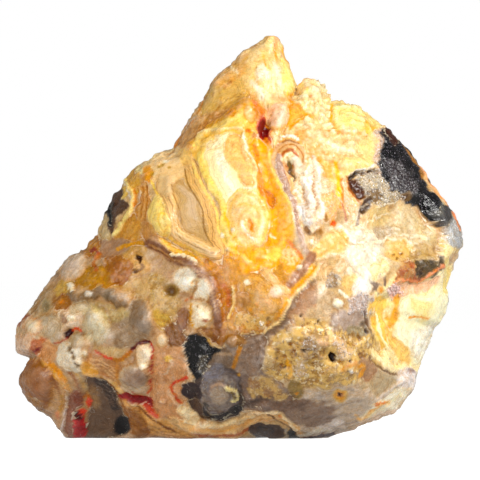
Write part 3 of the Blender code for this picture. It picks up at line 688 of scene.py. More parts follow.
# %% The blue-grey orb, the black patch and the dark blob
area("dark ground of the orb", (34, 30, 30), "196,372 214,366 236,376 246,396 240,410 224,421 206,418 "
    "192,402", edge=5)
eye("grey blue orb", (219, 392), (24, 27), ((0, (76, 69, 62)), (0.34, (74, 65, 59)), (0.42, (56, 51, 50)),
    (0.56, (49, 46, 46)), (0.64, (59, 56, 55)), (0.72, (45, 41, 42)), (0.82, (52, 49, 50)),
    (0.9, (40, 37, 39)), (1, (25, 22, 22))), turn=-25, edge=6, ragged=2.2, gloss=0.8)
area("blue shoulder", (54, 54, 60), "202,376 212,364 222,366 222,376 210,384 204,392", edge=5, share=0.75)
eye("pale disc", (219.8, 395), (10.5, 10), ((0, (70, 65, 61)), (0.8, (66, 61, 57)), (1, (54, 51, 51))),
    rise=0.15)
area("dark foot", (20, 19, 22), "201,408 208,416 222,419 234,412 244,408 238,402 228,410 214,412 204,402",
    edge=3)
spots("black bead", "235.5,409", (6, 5), BLACK, (24, 23, 25), edge=2)
line("pale rim", (62, 61, 63), 1.6, "203,386 202,400 208,410 218,413", share=0.6)
line("cream beads", (88, 82, 60), 4, "225,386 231,388 237,391 237,397 233,399", edge=2, rise=0.3,
    dashes=2.6)
line("cream beads, shade", (50, 44, 28), 1.6, "229,390 234,393 234,397", share=0.8)
area("black patch", (6.5, 6.5, 7.5), "185,338 190,333 198,332 206,337 213,345 223,347 218,351 214,356 "
    "209,364 204,371 198,378 192,372 188,360", edge=2.5, rise=-0.15, layers=0, gloss=0.9, crest=0.6)
area("white grains", (50, 48, 46), "199,360 207,358 208,367 202,373 197,368", edge=3, share=0.6, ragged=2,
    frost=0.7, druse=0.2)
area("dark blob", (20, 15, 17), "182,389 189,381 198,383 201,396 192,400 185,395", edge=2.5, layers=0,
    gloss=0.9)
area("brown dark strip", (34, 28, 26), "188,400 198,398 203,408 206,418 197,414 190,406", edge=3)
line("pale border", (82, 72, 60), 2.2, "184,346 186,358 190,370 193,378", share=0.8, rise=0.15)

# %% The pink field and its red lines
line("orange red stroke", (78, 34, 16), 3.2, "171,386 175,381 181,379 188,376")
line("red arc", (74, 36, 14), 2.4, "172,386 174,392 180,400 187,407")
line("pale arc", (90, 78, 68), 2, "169,390 173,398 178,404 182,410", share=0.8)
spots("yellow spot", "169.3,358.3", (3.8, 4), (94, 76, 24), (90, 76, 52), rise=0.2)
line("white trail", (92, 84, 76), 2.4, "172,360 170,368 166,374", share=0.75)
spots("bead", "164,400", (3.2, 3.2), (92, 80, 64), (80, 60, 46), rise=0.25)
line("dark red line", (62, 18, 8), 2, "151.5,350 153,356 152,366", edge=1.2)
line("red seam", (74, 32, 18), 1.8, "152,366 153,376 151,386 148,392", share=0.85)
for shift in (0, 6, 12):
    line("flow line", (88, 74, 66), 1.4, ((160 + shift, 350), (158 + shift, 366), (164 + shift, 380),
        (162 + shift, 396)), share=0.5)

# %% The peach lip and the dark lens
area("cream of the lip", (97, 89, 75), "178,404 187,404 196,414 202,424 190,426 180,416", edge=5, rise=0.15)
area("peach of the lip", (97, 83, 64), "168,414 180,418 200,425 222,424 240,416 256,411 274,409 290,418 "
    "302,432 292,428 278,420 262,420 248,428 240,436 214,437 190,430", edge=3, rise=0.3)
line("cream crest", (95, 86, 70), 3.4, "186,420 200,424 218,424 238,419 254,413", edge=2.5, share=0.85,
    rise=0.25)
line("orange seam", (98, 78, 54), 3, "192,428 206,428 224,428 240,424 252,418", edge=2, share=0.85)
line("pale top", (96, 86, 70), 3, "258,411 272,409 284,415 296,427", edge=2, rise=0.25)
spots("orange fleck", "280.5,414", (3, 2), ORANGE, PEACH, turn=-30)
line("dark thread", (40, 30, 22), 1.3, "268,413 278,419 290,426 298,434", share=0.8)
line("red brown foot", (70, 42, 28), 3.4, "196,434 216,435 236,433 248,428", edge=2.5, share=0.85)
area("dark lens", (38, 34, 34), "248,428 257,423 271,423.5 285,430 281,438 262,441 253,435", edge=2,
    rise=-0.3, layers=0, gloss=0.9)
spots("light middle", "265,431", (9, 4.5), (50, 50, 53), (30, 30, 34), turn=-10, edge=3, share=0.8)
area("second lens", (22, 22, 24), "288,431 293,429 299,436 300,441 289,441", edge=2, layers=0, gloss=0.8)
line("between the lenses", (72, 70, 68), 2.4, "286,428 286.5,434 286,441", share=0.85)
line("white sill", (90, 86, 80), 3, "298,434 306,434 316,429 330,430", edge=1.8, rise=0.2)
line("red brown sill", (24, 9, 7), 4, "301,439 312,437.5 322,435 332,434", edge=1.8)

# %% [markdown]
# The left side is a heap of lumps that grew into one another. Each is an eye or a small area that rises,
# with a darker seam round it, and the bands below them bend round the foot.

# %% The banded foot on the left
area("tan layers", (88, 71, 50), "116,380 128,394 150,410 176,424 200,436 170,438 136,434 128,424 124,404")
area("orange brown foot", (54, 39, 27), "128,404 142,414 150,434 134,434 128,422", edge=5, share=0.8)
for shift in (0, 4, 8, 12, 17, 22):
    colour = (90, 76, 58) if shift % 8 == 0 else (50, 34, 22)
    line("tan layer", colour, 1.6, ((120, 392 + shift * 0.9), (132, 400 + shift), (150, 412 + shift),
        (174, 427 + shift * 0.5), (196, 434 + shift * 0.2)), share=0.4, ragged=0.8)
line("dark seam", (42, 26, 17), 1.8, "130,399 141,408 152,417 164,425 176,431", share=0.9)
line("tan outer band", (88, 74, 52), 3.4, "88,374 104,375 116,384 126,396 136,404", edge=2, share=0.9,
    rise=0.2)
line("brown inner band", (56, 38, 22), 2, "102,376 114,386 122,400 128,414 131,428", share=0.85)
area("dark red band", (54, 15, 9), "119,393 128,391 140,393 152,396 154,404 148,408 136,401 124,398",
    edge=3, rise=-0.15, layers=0)
area("orange red wedge", (80, 36, 15), "142,402 150,402 157,410 160,415 152,413 144,408", edge=2.5)
area("dark grey patch", (42, 36, 33), "87,378 101,377 110,383 117,391 120,402 127,417 130,426 127,432 "
    "114,438 86,442 88,420 90,400", edge=2.5, rise=-0.1, layers=0.6, gloss=0.6, even=0.5)
area("patch, black band", (27, 23, 22), "93,378 102,379 112,386 117,398 118,410 112,408 108,396 100,386",
    edge=3, layers=0)
area("patch, tan window", (76, 64, 50), "88,384 96,386 102,394 100,404 92,408 88,400", edge=8, share=0.5,
    layers=0.6, even=0.5)
area("patch, grey foot", (48, 41, 37), "88,412 100,408 112,414 116,428 106,438 88,440", edge=8, share=0.6,
    layers=0.6, even=0.5)
area("patch, black corner", (10, 9, 11), "118,418 126,416 130,425 127,432 116,435 114,428", edge=3,
    layers=0)
for shift in (0, 4, 8, 12):
    line("patch, fine layer", (52, 47, 46), 1.1, ((98 - shift * 0.3, 381 + shift), (108, 386 + shift),
        (115, 394 + shift)), share=0.6)
area("orange bead", (90, 38, 10), "78,409 82,406 87,409 86,414 81,415", edge=1.6, rise=0.3, gloss=0.8)
area("second orange bead", (78, 34, 12), "86,400 90,397 93,401 91,406 87,406", edge=2, rise=0.25)
line("orange trail", (76, 44, 22), 3, "82,398 86,394 90,396", edge=2, share=0.7)
area("red block", (74, 12, 2), "73,415 79,412 84,417 86.5,428 85.5,438 79,441 74,434 72,423", edge=1.8,
    rise=0.25, layers=0, gloss=0.9)
area("red block, dark top", (30, 5, 4), "74,414 80,412 82,418 76,421", edge=2.5)
spots("red block, bright foot", "80,431", (4, 6), (64, 16, 4), (57, 10, 3), share=0.8)
area("mauve band", (60, 46, 42), "74,390 80,390 80,399 76,408 73,420 74,438 66,440 65,424 67,408 69,397",
    edge=2.2)
area("red shade", (52, 32, 27), "76,394 84,392 84,401 76,408 74,402", edge=3, share=0.85)
line("white seam", (93, 88, 86), 2.2, "67,396 66.5,405 65,414 63,426 60.5,436", share=0.85, rise=0.15)
area("pale left foot", (80, 67, 54), "50,384 60,382 67,392 66,408 62,424 60,438 50,420 42,408 50,396",
    edge=3)
line("gold stripe", (78, 62, 38), 3, "63,394 62,404 60,414", edge=2, share=0.8)
spots("orange", "58,415", (3, 5), (86, 52, 36), PINK_TAN, edge=2.5, share=0.85)
area("tan diagonal", (86, 68, 44), "44,356 54,362 64,374 72,388 70,392 60,384 50,372 42,362", edge=3,
    rise=0.25)
line("diagonal, orange tint", (90, 64, 32), 4, "49,360 57,368 66,380", edge=3, share=0.8)
line("diagonal, brown edge", (60, 44, 34), 3, "42,361 50,372 57,382 60,392", edge=2.5, share=0.85)
line("inner mauve line", (62, 46, 36), 3, "60,362 70,372 78,384 84,394", edge=2, share=0.8)
line("inner tan line", (84, 70, 50), 3, "66,362 76,372 84,384 88,392", edge=2, share=0.8)
line("second mauve line", (80, 72, 60), 2.4, "72,366 82,376 88,388", share=0.7)

# %% The amber lump
eye("amber lump", (36, 384), (16, 27), ((0, (58, 40, 2)), (0.6, (60, 42, 3)), (0.85, (60, 42, 10)),
    (1, (68, 50, 26))), turn=14, edge=2, rise=0.3, gloss=1)
area("olive side", (58, 42, 14), "22,374 28,366 34,372 34,388 28,394 22,386", edge=5, share=0.75)
area("tan foot", (66, 50, 30), "25,394 34,396 44,402 44,410 34,410 26,400")
line("pale crown", (80, 62, 44), 3, "26,366 32,359 38,362", edge=2, share=0.8)

# %% The lumps at the left end
area("left end ground", (84, 74, 62), "14,336 24,318 40,308 62,310 62,330 44,340 36,358 18,358", edge=5)
area("grey cream behind", (74, 69, 62), "40,312 54,308 62,322 60,338 46,340 42,326", edge=5, share=0.85)
eye("left cream lump", (34, 326), (9.5, 9), ((0, (96, 90, 80)), (0.6, (92, 82, 68)), (1, (80, 62, 48))),
    rise=0.1)
line("red rim", (60, 34, 24), 2.6, "32,315 25,319 21,326", edge=1.8, share=0.85)
area("pink cream left", (88, 76, 66), "14,338 26,334 36,338 34,352 22,359 15,350", edge=3.5, rise=0.25)
area("red blotch", (70, 40, 28), "34,340 44,338 46,345 42,353 34,354 32,346", edge=3, share=0.7, ragged=2)
line("red blotch, dark", (44, 10, 8), 2.4, "46,342 42,347 35,351", share=0.85)
area("tan pink below", (84, 68, 54), "44,342 58,344 60,358 48,362 40,356")
area("cream pink", (90, 82, 74), "60,312 74,308 84,316 80,326 66,326")
eye("small ring", (65.5, 320), (4, 4), ((0, (80, 70, 62)), (0.6, (62, 52, 46)), (1, (86, 78, 70))))
spots("white knob", "72,317", (4, 3), WHITE, CREAM, rise=0.35)
area("pitted white lump", (90, 86, 79), "56,353 62,344 71,341 80,347 82,356 86,364 84,372 70,371 60,364",
    edge=2.5, rise=0.1)
for place, radii in (((70, 348), (2.2, 2.6)), ((74, 357), (2.4, 3.2)), ((79, 366), (2.2, 1.8)),
    ((72, 352), (2, 2)), ((76, 363), (1.6, 1.6))):
    eye("lump pit", place, radii, ((0, (42, 36, 30)), (1, (74, 68, 60))), edge=1.8, rise=-0.3)
eye("pale cream lump", (79, 340), (8, 8), ((0, (77, 72, 65)), (0.7, (75, 68, 58)), (1, (63, 52, 40))),
    rise=0.1)
spots("little cream lobe", "86,352", (4.5, 3), (93, 89, 80), (76, 64, 48), rise=0.3)
area("dark red pit", (24, 6, 5), "66,335 69,330 74,329 74,334 70,338", edge=1.6, rise=-0.4, layers=0)
line("red trail, upper", (78, 36, 14), 2.6, "73,330 77,328 82,331", edge=1.6)
line("red trail, lower", (62, 30, 20), 2, "68,337 63,341 56,342", share=0.8)
area("pink tan streaks", (71, 55, 42), "88,352 104,356 122,362 118,378 100,374 88,370")
area("orange gold streaks", (89, 70, 42), "84,362 94,362 100,372 90,376 82,372", share=0.8)
for shift in (0, 4, 8):
    line("streak", (93, 80, 64), 1.4, ((92, 358 + shift), (104, 361 + shift), (116, 370 + shift)),
        share=0.7)
line("red streak", (76, 30, 12), 2.2, "97,350 101,353 107,356 116,358.5")
line("gold brown seam", (72, 52, 24), 3.4, "114,358 122,358 128,354 133,347", edge=2)

# %% The round mauve lump and the cream lump over it
eye("mauve lump", (134, 377), (16, 14.5), ((0, (62, 53, 47)), (0.5, (67, 59, 53)), (0.8, (76, 69, 60)),
    (1, (68, 52, 38))), gloss=0.7)
line("pale foot", (88, 82, 75), 3, "122,386 129,390 138,390 146,386", edge=3, share=0.75)
spots("dark side", "142,376", (7, 9), (46, 36, 30), (54, 44, 37), edge=4, share=0.7)
line("orange beside the lump", (84, 58, 26), 4, "118,362 118,372 119,382", edge=3, share=0.25)
area("cream lump", (95, 88, 78), "136,352 140,346 147,343 152,347 152,356 149,364 144,368 139,360", edge=2,
    rise=0.1)
line("dark red arc", (40, 10, 6), 3.2, "132,349 137,344 143,341 150,342", rise=-0.3)
line("red right side", (72, 26, 10), 2, "151,342 153.5,348 153,356", edge=1.4)
line("brown left", (70, 48, 20), 3, "132,350 126,355 120,358", edge=2)
spots("knob", "145,365", (3, 2.6), WHITE, CREAM, rise=0.2)

# %% The nodules of the left middle
area("grey clear field", (64, 57, 50), "108,316 124,310 136,300 148,304 150,330 140,342 124,350 110,340",
    edge=5)
area("dark grain field", (54, 47, 41), "134,302 144,301 151,312 150,330 140,336 132,322", share=0.8,
    ragged=2)
eye("pale cream swell", (98, 326), (14, 18), ((0, (87, 84, 76)), (0.6, (83, 79, 70)), (1, (74, 67, 56))),
    edge=4, rise=0.1)
line("swell, cream rim", (90, 84, 64), 4, "86,312 92,306 98,312", edge=3, share=0.7)
area("olive yellow", (80, 74, 56), "92,302 108,298 122,304 128,312 116,322 102,318 92,312", edge=8,
    share=0.6)
area("yellow foot of the swell", (84, 76, 60), "96,348 112,346 128,350 122,356 104,354", share=0.6)
area("ochre gold", (70, 54, 30), "72,272 86,266 104,266 124,264 128,280 112,288 92,290 76,286", edge=8,
    ragged=2)
area("gold left slope", (82, 70, 46), "56,288 66,280 74,282 72,296 60,300 52,298", edge=6)
for place, radii in (((71, 286), (3.4, 4)), ((73.6, 291.5), (2.2, 2.2)), ((104.6, 262.6), (3, 2.4))):
    eye("white sparkle", place, radii, ((0, WHITE), (1, CREAM)), share=0.9, rise=0.3)
line("grey ridge", (53, 44, 34), 10, "74,298 84,298 94,296 102,291 110,293 114,298 124,304", edge=3.5,
    ragged=2.5, rise=0.3)
spots("ridge, white", "91,294", (4, 3), WHITE, PALE_GREY, share=0.8, rise=0.2)
spots("ridge, dark", "110,296", (6, 5), (40, 35, 28), (56, 50, 43), edge=3, share=0.85)
area("grey olive margin", (73, 63, 50), "32,310 44,290 54,286 58,300 54,312 42,316", edge=5)
spots("margin, dark", "47,306", (4, 6), (46, 42, 34), (62, 58, 48), edge=3, share=0.8)
area("brown orange", (62, 44, 26), "54,296 66,294 72,302 66,310 56,308", share=0.8)
spots("orange dot left", "63.5,302", (3.4, 3), (86, 56, 24), (70, 52, 32), edge=2)
area("cream under the ridge", (87, 82, 72), "72,304 86,302 94,308 84,314 70,312", share=0.8)
eye("crumb ring", (63.5, 315), (3, 3), ((0, (72, 64, 54)), (0.7, (54, 44, 36)), (1, BEIGE)), share=0.7)

# %% The pink lump and the slope over it
area("upper slope", (68, 57, 49), "98,242 106,234 120,236 134,240 128,250 118,256 102,262")
area("olive edge of the slope", (85, 77, 62), "98,226 106,216 110,226 114,238 104,240 98,236", edge=3.5)
area("gold brown knob", (76, 58, 34), "82,254 88,242 98,236 102,246 98,256 88,256", edge=3, rise=0.2)
line("rust in the slope", (62, 32, 12), 3, "92,252 96,250 99,254", edge=2)
line("red rust vein", (68, 40, 20), 3.2, "101,256 95,259 94,264 96,270", edge=1.8, share=0.7, ragged=1.5)
eye("pink lump", (73, 266), (17, 12), ((0, (88, 80, 74)), (0.7, (86, 78, 70)), (1, (82, 68, 54))), turn=48,
    edge=2.5, rise=0.1)
area("mauve slope", (62, 45, 28), "102,258 112,256 122,260 120,270 106,270", share=0.85)
line("gold line", (82, 62, 26), 3.4, "118,249 128,245 140,243 150,246 153,258", edge=2)
area("cream nodule", (78, 64, 44), "126,254 134,246 148,246 152,256 150,270 140,275 130,272 126,262",
    edge=3, rise=0.3)
eye("crater", (141.5, 259), (5, 5), ((0, (25, 17, 11)), (0.5, (34, 23, 16)), (1, (47, 35, 23))), edge=3,
    ragged=2, rise=-0.3)
spots("second crater", "135.5,271", (3.6, 2.8), (36, 25, 16), (72, 60, 44), edge=2.5, ragged=2, rise=-0.25)
line("crater link", (46, 34, 22), 2.4, "141,264 144,268 138,271", share=0.7)
spots("pinhole", "142.5,278", (1.2, 1), BLACK, BROWN)
area("pale cream below", (75, 64, 50), "126,280 140,276 150,282 152,300 138,302 126,294", edge=5,
    crumb=0.25)

# %% The dark triangle on the shoulder
area("shoulder tan", (88, 72, 44), "124,176 134,168 140,178 138,196 132,192 127,184", edge=3)
area("orange brown below it", (80, 63, 41), "116,234 124,222 134,214 142,220 150,232 140,244 124,242",
    edge=6)
area("mauve brown hollow", (74, 58, 43), "142,222 150,220 156,232 158,244 148,244 142,234", edge=6,
    share=0.7)
line("cream edge", (97, 88, 60), 3.8, "125,179 129,187 133,195 133.5,203 131,211 125.5,220 120,228 "
    "115.5,235", edge=2, rise=0.25)
line("white thread", WHITE, 1.6, "126,182 128,190 131,199", share=0.9)
area("gold pocket", (95, 83, 52), "121,188 126,187 129,198 124,200 121,197", edge=2.5)
line("red thread", (84, 52, 26), 3, "135,190 136.5,198 135.5,206", edge=2, share=0.6)
area("dark triangle", (38, 30, 25), "121.5,186 117,192 112.5,198 107.5,205 106.5,212 108.5,218 107.5,225 "
    "110.5,232 115,235 113.5,228 117.5,224 117,218.5 124,214 129,209 129,204 125,200 121,199 123,193",
    edge=1.8, rise=-0.15, layers=0, crest=0.5)
area("black side", BLACK, "110,203 114,200 112,210 114,218 112,228 109,224 108,212", edge=3, share=0.85)
for shift in (0, 4, 8):
    line("brown stripe", (58, 38, 20), 1.3, ((138 + shift, 186), (140 + shift, 200), (137 + shift, 217)),
        share=0.6)
spots("cream dot of the stripes", "123,221", (1.6, 1.4), (40, 22, 12), TAN, share=0.8)

# %% The brown lace band, the white lumps and the amber strip
area("amber shade on the slope", (58, 40, 18), "110,262 122,256 132,262 130,276 120,283 112,276", edge=6,
    share=0.75, ragged=2)
area("golden bend", (82, 61, 32), "204,258 214,260 224,270 222,284 214,276 206,268", share=0.85)
area("pinkish beige", (77, 59, 38), "222,254 236,258 244,272 240,288 230,282 224,268", edge=5, share=0.85)
area("amber strip", (72, 53, 24), "212,270 224,276 234,288 234,312 228,322 218,320 218,300 214,284")
line("brown", (72, 44, 18), 4, "224,284 229,294 228,304", edge=3, share=0.85)
line("pale line", (94, 84, 60), 2.4, "233,286 234.5,298 232,308 228,318", share=0.85, rise=0.2)
area("left middle beige", (78, 67, 58), "150,246 160,248 180,266 182,282 168,286 152,276", edge=5,
    crumb=0.25)
area("olive cream mottle", (70, 59, 43), "150,272 170,280 180,300 176,312 156,312 148,296", edge=5,
    crust=0.4, crumb=0.35)
line("dark", (52, 38, 30), 9, "150,244 162,249 173,258 185,262.5 196,270 206,278 212,287 213,299 217,312 "
    "219,324", edge=2.5, ragged=0.4, rise=0.2)
line("light", (73, 58, 43), 2.2, "152,245 163,249.5 174,258.5 186,263 197,270.5 207,278.5 212,287 "
    "213.5,299 217,312", share=0.85)
line("lower light", (74, 62, 52), 1.6, "154,250 166,257 180,265 192,272 203,281 208,290 210,302", share=0.7)
line("white beads of the band", (93, 86, 72), 2.8, "172,254 180,255 188,256.5 196,262", edge=1.8, rise=0.35,
    dashes=5)
line("gold under the panel", (88, 66, 30), 3, "196,258 206,265 215,273", edge=2.5, share=0.8)
eye("olive pit", (172, 290), (9.5, 7), ((0, (48, 40, 26)), (0.6, (62, 53, 38)), (1, (78, 68, 52))), edge=3,
    rise=-0.3)
eye("white lump A", (186, 279), (12, 13.5), ((0, (99, 98, 94)), (0.85, (98, 94, 87)), (1, (82, 70, 54))),
    turn=25, ragged=0.4, rise=-0.25, gloss=0.8)
eye("white lump B", (201, 289.5), (10, 12.5), ((0, (99, 98, 94)), (0.85, (97, 92, 83)), (1, (80, 64, 46))),
    turn=12, ragged=0.4, rise=-0.25, gloss=0.8)
line("between the lumps", (80, 66, 48), 1.8, "198,281 195,289 194,295", share=0.8, rise=-0.2)
line("rust line", (66, 38, 18), 1.8, "186,300 193,298 200,300", share=0.85)
eye("white lump C", (199, 313), (14, 16), ((0, (99, 96, 89)), (0.85, (94, 87, 76)), (1, (74, 58, 38))),
    ragged=0.4, rise=-0.3)
line("gold rim", (84, 64, 30), 2.4, "191,304 189,314 192,324", share=0.85)
spots("lump C speck", "190.5,312 192.5,316.5 197,305", (1.2, 1.2), BROWN, TAN, share=0.8)
spots("lump C mark", "205.6,321", (3.2, 2.2), (62, 26, 18), (86, 74, 62), share=0.9)
area("brown shade beside", (49, 33, 18), "178,308 186,306 188,322 184,332 176,326", edge=3, share=0.85)
area("amber brown below", (50, 36, 21), "166,320 178,322 188,334 182,344 168,342")
area("yellow olive", (80, 69, 42), "156,312 168,312 174,322 164,328 156,324", share=0.85)
area("brown above the black", (50, 35, 19), "196,328 210,326 222,330 216,342 208,338", edge=3, share=0.85)
line("tan seam over the black", (80, 66, 42), 1.8, "200,330 207,336 214,344 221,347", share=0.85, rise=0.15)
eye("cream bead", (162.5, 338.5), (6, 7), ((0, (96, 90, 80)), (0.7, (90, 80, 66)), (1, (70, 54, 38))),
    rise=-0.1)

# %% The peach middle
area("white pink fan", (91, 79, 61), "262,268 270,268 280,280 290,292 284,296 272,286 262,276", edge=3,
    rise=0.15)
for shift in (0, 5, 10, 15):
    line("fan rib", (78, 60, 46), 1.2, ((263 + shift, 270 + shift), (268 + shift, 267 + shift)), share=0.7)
area("peach middle", (81, 65, 43), "242,274 260,276 276,292 284,300 278,314 258,318 246,304 240,288",
    edge=6)
eye("pale pink round", (276, 291), (7, 7.5), ((0, (94, 84, 76)), (0.6, (92, 80, 68)), (1, (88, 72, 52))),
    rise=0.3)
spots("white spot of the middle", "247,281.5", (3.4, 3), WHITE, CREAM, share=0.9)
area("mauve beige middle", (74, 59, 43), "236,290 248,292 252,306 242,314 234,306", share=0.85)
spots("orange spot of the middle", "256,303 250,308.5 262,312 268,300", (2.6, 2.2), (84, 54, 24),
    (90, 74, 50), share=0.85)
area("golden crust", (76, 57, 30), "238,316 254,312 270,314 272,324 262,332 246,334 234,326", ragged=2,
    rise=0.15, crust=0.5, crumb=0.7)
spots("sparkle of the crust", "260.7,322", (3, 2), WHITE, CREAM, share=0.85, druse=0.8)
area("brown under the crust", (60, 46, 28), "228,328 242,334 246,344 236,346 228,338", share=0.8)
print(len(MARKS), "markings are on the list")

# %% [markdown]
# The plain solid has about 8000 faces, too few to carry beads and hairlines, so the stone gets a finer skin.
# Its points lie on rings round the line of sight, close together in front and wider apart behind.
# Each point is dropped from outside onto a smoothed copy of the solid, so the skin keeps the solid's shape.

# %% Sizes of the skin
RING_GAP = 1.59
SIDE_WEIGHT = 0.50
BACK_WEIGHT = 0.50
FEWEST_IN_RING = 8
RIM_RADIUS = 213.0
HALF_DEPTH = 113.0
SQUARENESS = 3.4
PROFILE_STEPS = 4001
COARSER_FROM = 1.2
COARSER_OVER = 0.9
OUTLINE_STEPS = 360
FAR = 0.2


def smooth_copy_of_solid():
    """The solid with its doubled points merged and its faces smoothed, as a tree that rays can hit."""
    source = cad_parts["agate"]
    copy = source.copy()
    copy.data = source.data.copy()
    copy.parent = None
    bpy.context.collection.objects.link(copy)
    weld = copy.modifiers.new("weld", "WELD")
    weld.merge_threshold = 0.001 * MM
    soften = copy.modifiers.new("soften", "SUBSURF")
    soften.levels = 2
    soften.render_levels = 2
    bpy.context.view_layer.update()
    evaluated = copy.evaluated_get(bpy.context.evaluated_depsgraph_get())
    mesh = bpy.data.meshes.new_from_object(evaluated)
    points = np.empty(len(mesh.vertices) * 3)
    mesh.vertices.foreach_get("co", points)
    mesh.calc_loop_triangles()
    triangles = [tuple(triangle.vertices) for triangle in mesh.loop_triangles]
    points = points.reshape(-1, 3)
    tree = BVHTree.FromPolygons([tuple(point) for point in points], triangles)
    bpy.data.objects.remove(copy, do_unlink=True)
    return points, tree


def outline_reach(points):
    """How far the solid reaches from its middle, seen from the front, for each direction."""
    across = points[:, 0] - MIDDLE.x
    up = points[:, 2] - MIDDLE.z
    step = ((np.arctan2(up, across) / (2 * math.pi) + 1.0) * OUTLINE_STEPS).astype(int) % OUTLINE_STEPS
    reach = np.zeros(OUTLINE_STEPS)
    np.maximum.at(reach, step, np.hypot(across, up))
    near = np.maximum(reach, np.maximum(np.roll(reach, 1), np.roll(reach, -1)))
    return 0.25 * np.roll(near, 1) + 0.5 * near + 0.25 * np.roll(near, -1)


# %% [markdown]
# The rings run from the middle of the front, over the rim, to the middle of the back.
# Two neighbouring rings may hold different numbers of points, so they are joined by a strip of triangles
# that always takes the nearer next point. This keeps the triangles even, with no seam and no pole of slivers.

# %% Lay out the rings and join them
def ring_turns():
    """How far round the profile each ring lies, from 0 in front to pi behind."""
    turn = np.linspace(0.0, math.pi, PROFILE_STEPS)
    out = np.sin(turn) ** (2.0 / SQUARENESS)
    deep = np.sign(np.cos(turn)) * np.abs(np.cos(turn)) ** (2.0 / SQUARENESS)
    weight_out = np.where(turn[1:] < math.pi / 2, 1.0, BACK_WEIGHT)
    run = np.hypot(weight_out * RIM_RADIUS * np.diff(out), SIDE_WEIGHT * HALF_DEPTH * np.diff(deep))
    along = np.concatenate([[0.0], np.cumsum(run)])
    count = int(along[-1] / RING_GAP)
    places = (np.arange(count) + 0.5) / count * along[-1]
    return np.interp(places, along, turn)


def joined_strip(first, first_count, second, second_count, shift):
    """Triangles between two rings, which both run the same way round."""
    faces = []
    i = 0
    j = 0
    while i < first_count or j < second_count:
        next_first = (i + 1) / first_count
        next_second = (j + 1 + shift) / second_count
        a = first + i % first_count
        b = second + j % second_count
        if j >= second_count or (i < first_count and next_first <= next_second):
            faces.append((a, b, first + (i + 1) % first_count))
            i += 1
        else:
            faces.append((a, b, second + (j + 1) % second_count))
            j += 1
    return faces


def skin_layout(reach):
    """Directions from the middle of the stone to each point of the skin, and its triangles."""
    turns = ring_turns()
    places = []
    faces = []
    starts = []
    counts = []
    for turn in turns:
        out = math.sin(turn) ** (2.0 / SQUARENESS)
        deep = -math.copysign(abs(math.cos(turn)) ** (2.0 / SQUARENESS), math.cos(turn))
        fineness = 1.0 - 0.5 * min(max(turn - COARSER_FROM, 0.0) / COARSER_OVER, 1.0)
        count = max(FEWEST_IN_RING, round(2 * math.pi * out * RIM_RADIUS * fineness / RING_GAP))
        angles = np.arange(count) / count * 2 * math.pi
        steps = np.arange(OUTLINE_STEPS + 1) * 2 * math.pi / OUTLINE_STEPS
        centred = np.append(reach, reach[0])
        away = np.interp((angles - math.pi / OUTLINE_STEPS) % (2 * math.pi), steps, centred) * out
        depth = np.full(count, deep * HALF_DEPTH * PIXEL)
        starts.append(len(places))
        counts.append(count)
        places.extend(np.stack([np.cos(angles) * away, depth, np.sin(angles) * away], axis=1))
    front = len(places)
    places.append(np.array([0.0, -1.0, 0.0]))
    places.append(np.array([0.0, 1.0, 0.0]))
    for ring in range(len(turns) - 1):
        faces.extend(joined_strip(starts[ring], counts[ring], starts[ring + 1], counts[ring + 1], 0.0))
    for point in range(counts[0]):
        faces.append((front, starts[0] + point, starts[0] + (point + 1) % counts[0]))
    for point in range(counts[-1]):
        faces.append((front + 1, starts[-1] + (point + 1) % counts[-1], starts[-1] + point))
    return np.array(places), faces


def dropped_onto(tree, directions):
    """Where a ray from far outside towards the middle first meets the solid."""
    found = np.empty_like(directions)
    for index, direction in enumerate(directions):
        way = Vector(direction).normalized()
        hit = tree.ray_cast(MIDDLE + way * FAR, -way)[0]
        found[index] = hit if hit is not None else MIDDLE
    return found


solid_points, solid_tree = smooth_copy_of_solid()
directions, skin_faces = skin_layout(outline_reach(solid_points))
skin_points = dropped_onto(solid_tree, directions)
skin_mesh = bpy.data.meshes.new("agate_skin")
skin_mesh.from_pydata(skin_points.tolist(), [], skin_faces)
skin_mesh.update()
skin_normals = np.empty(len(skin_points) * 3)
skin_mesh.vertices.foreach_get("normal", skin_normals)
skin_normals = skin_normals.reshape(-1, 3)
if (skin_normals * (skin_points - np.array(MIDDLE))).sum() < 0.0:
    skin_mesh.flip_normals()
    skin_normals = -skin_normals
print("the skin has", len(skin_points), "points and", len(skin_faces), "triangles")

# %% [markdown]
# Now every point of the skin is looked up in the list of markings, by its column and row in the photograph.
# From the front the markings have to fall exactly where they were seen. Round the sides and behind,
# nothing was seen, but the layers of agate run through the whole stone, so the same markings go on there,
# drawn inwards, slid aside and bent by slow noise.

# %% Where each point of the skin falls among the markings
RAGGED_SIZE = 0.95 * MM
FINE_RAGGED_SIZE = 0.4 * MM
RAGGED = 1.6
FINE_RAGGED = 0.8
CLOUDY_SIZE = 2.1 * MM
CLOUDY = 3.2
BACK_START = 0.5 * MM
BACK_FULL = 14.0 * MM
BACK_PULL = 0.42
BACK_BEND = 55.0
BACK_SLIDE = (-18.0, 34.0)
BACK_LUMPS = 9.0 * MM
RIM_HOLD = 4.0

columns = MIDDLE_COLUMN + skin_points[:, 0] / PIXEL
rows = FLOOR_ROW - skin_points[:, 2] / PIXEL
behind = eased((skin_points[:, 1] - BACK_START) / (BACK_FULL - BACK_START))
behind *= eased(RIM_HOLD * skin_normals[:, 1])
for step, (values, middle) in enumerate(((columns, MIDDLE_COLUMN), (rows, MIDDLE_ROW))):
    values += ((middle - values) * BACK_PULL + BACK_SLIDE[step]) * behind
    values += layered_noise(skin_points, BACK_LUMPS, 20 + 5 * step) * BACK_BEND * behind
seen_at = np.stack([columns, rows], axis=1)


def wander(amount, size, seed):
    """How far noise pushes each point across and down, in pixels."""
    return amount * np.stack([noise(skin_points, size, seed), noise(skin_points, size, seed + 1)], axis=1)


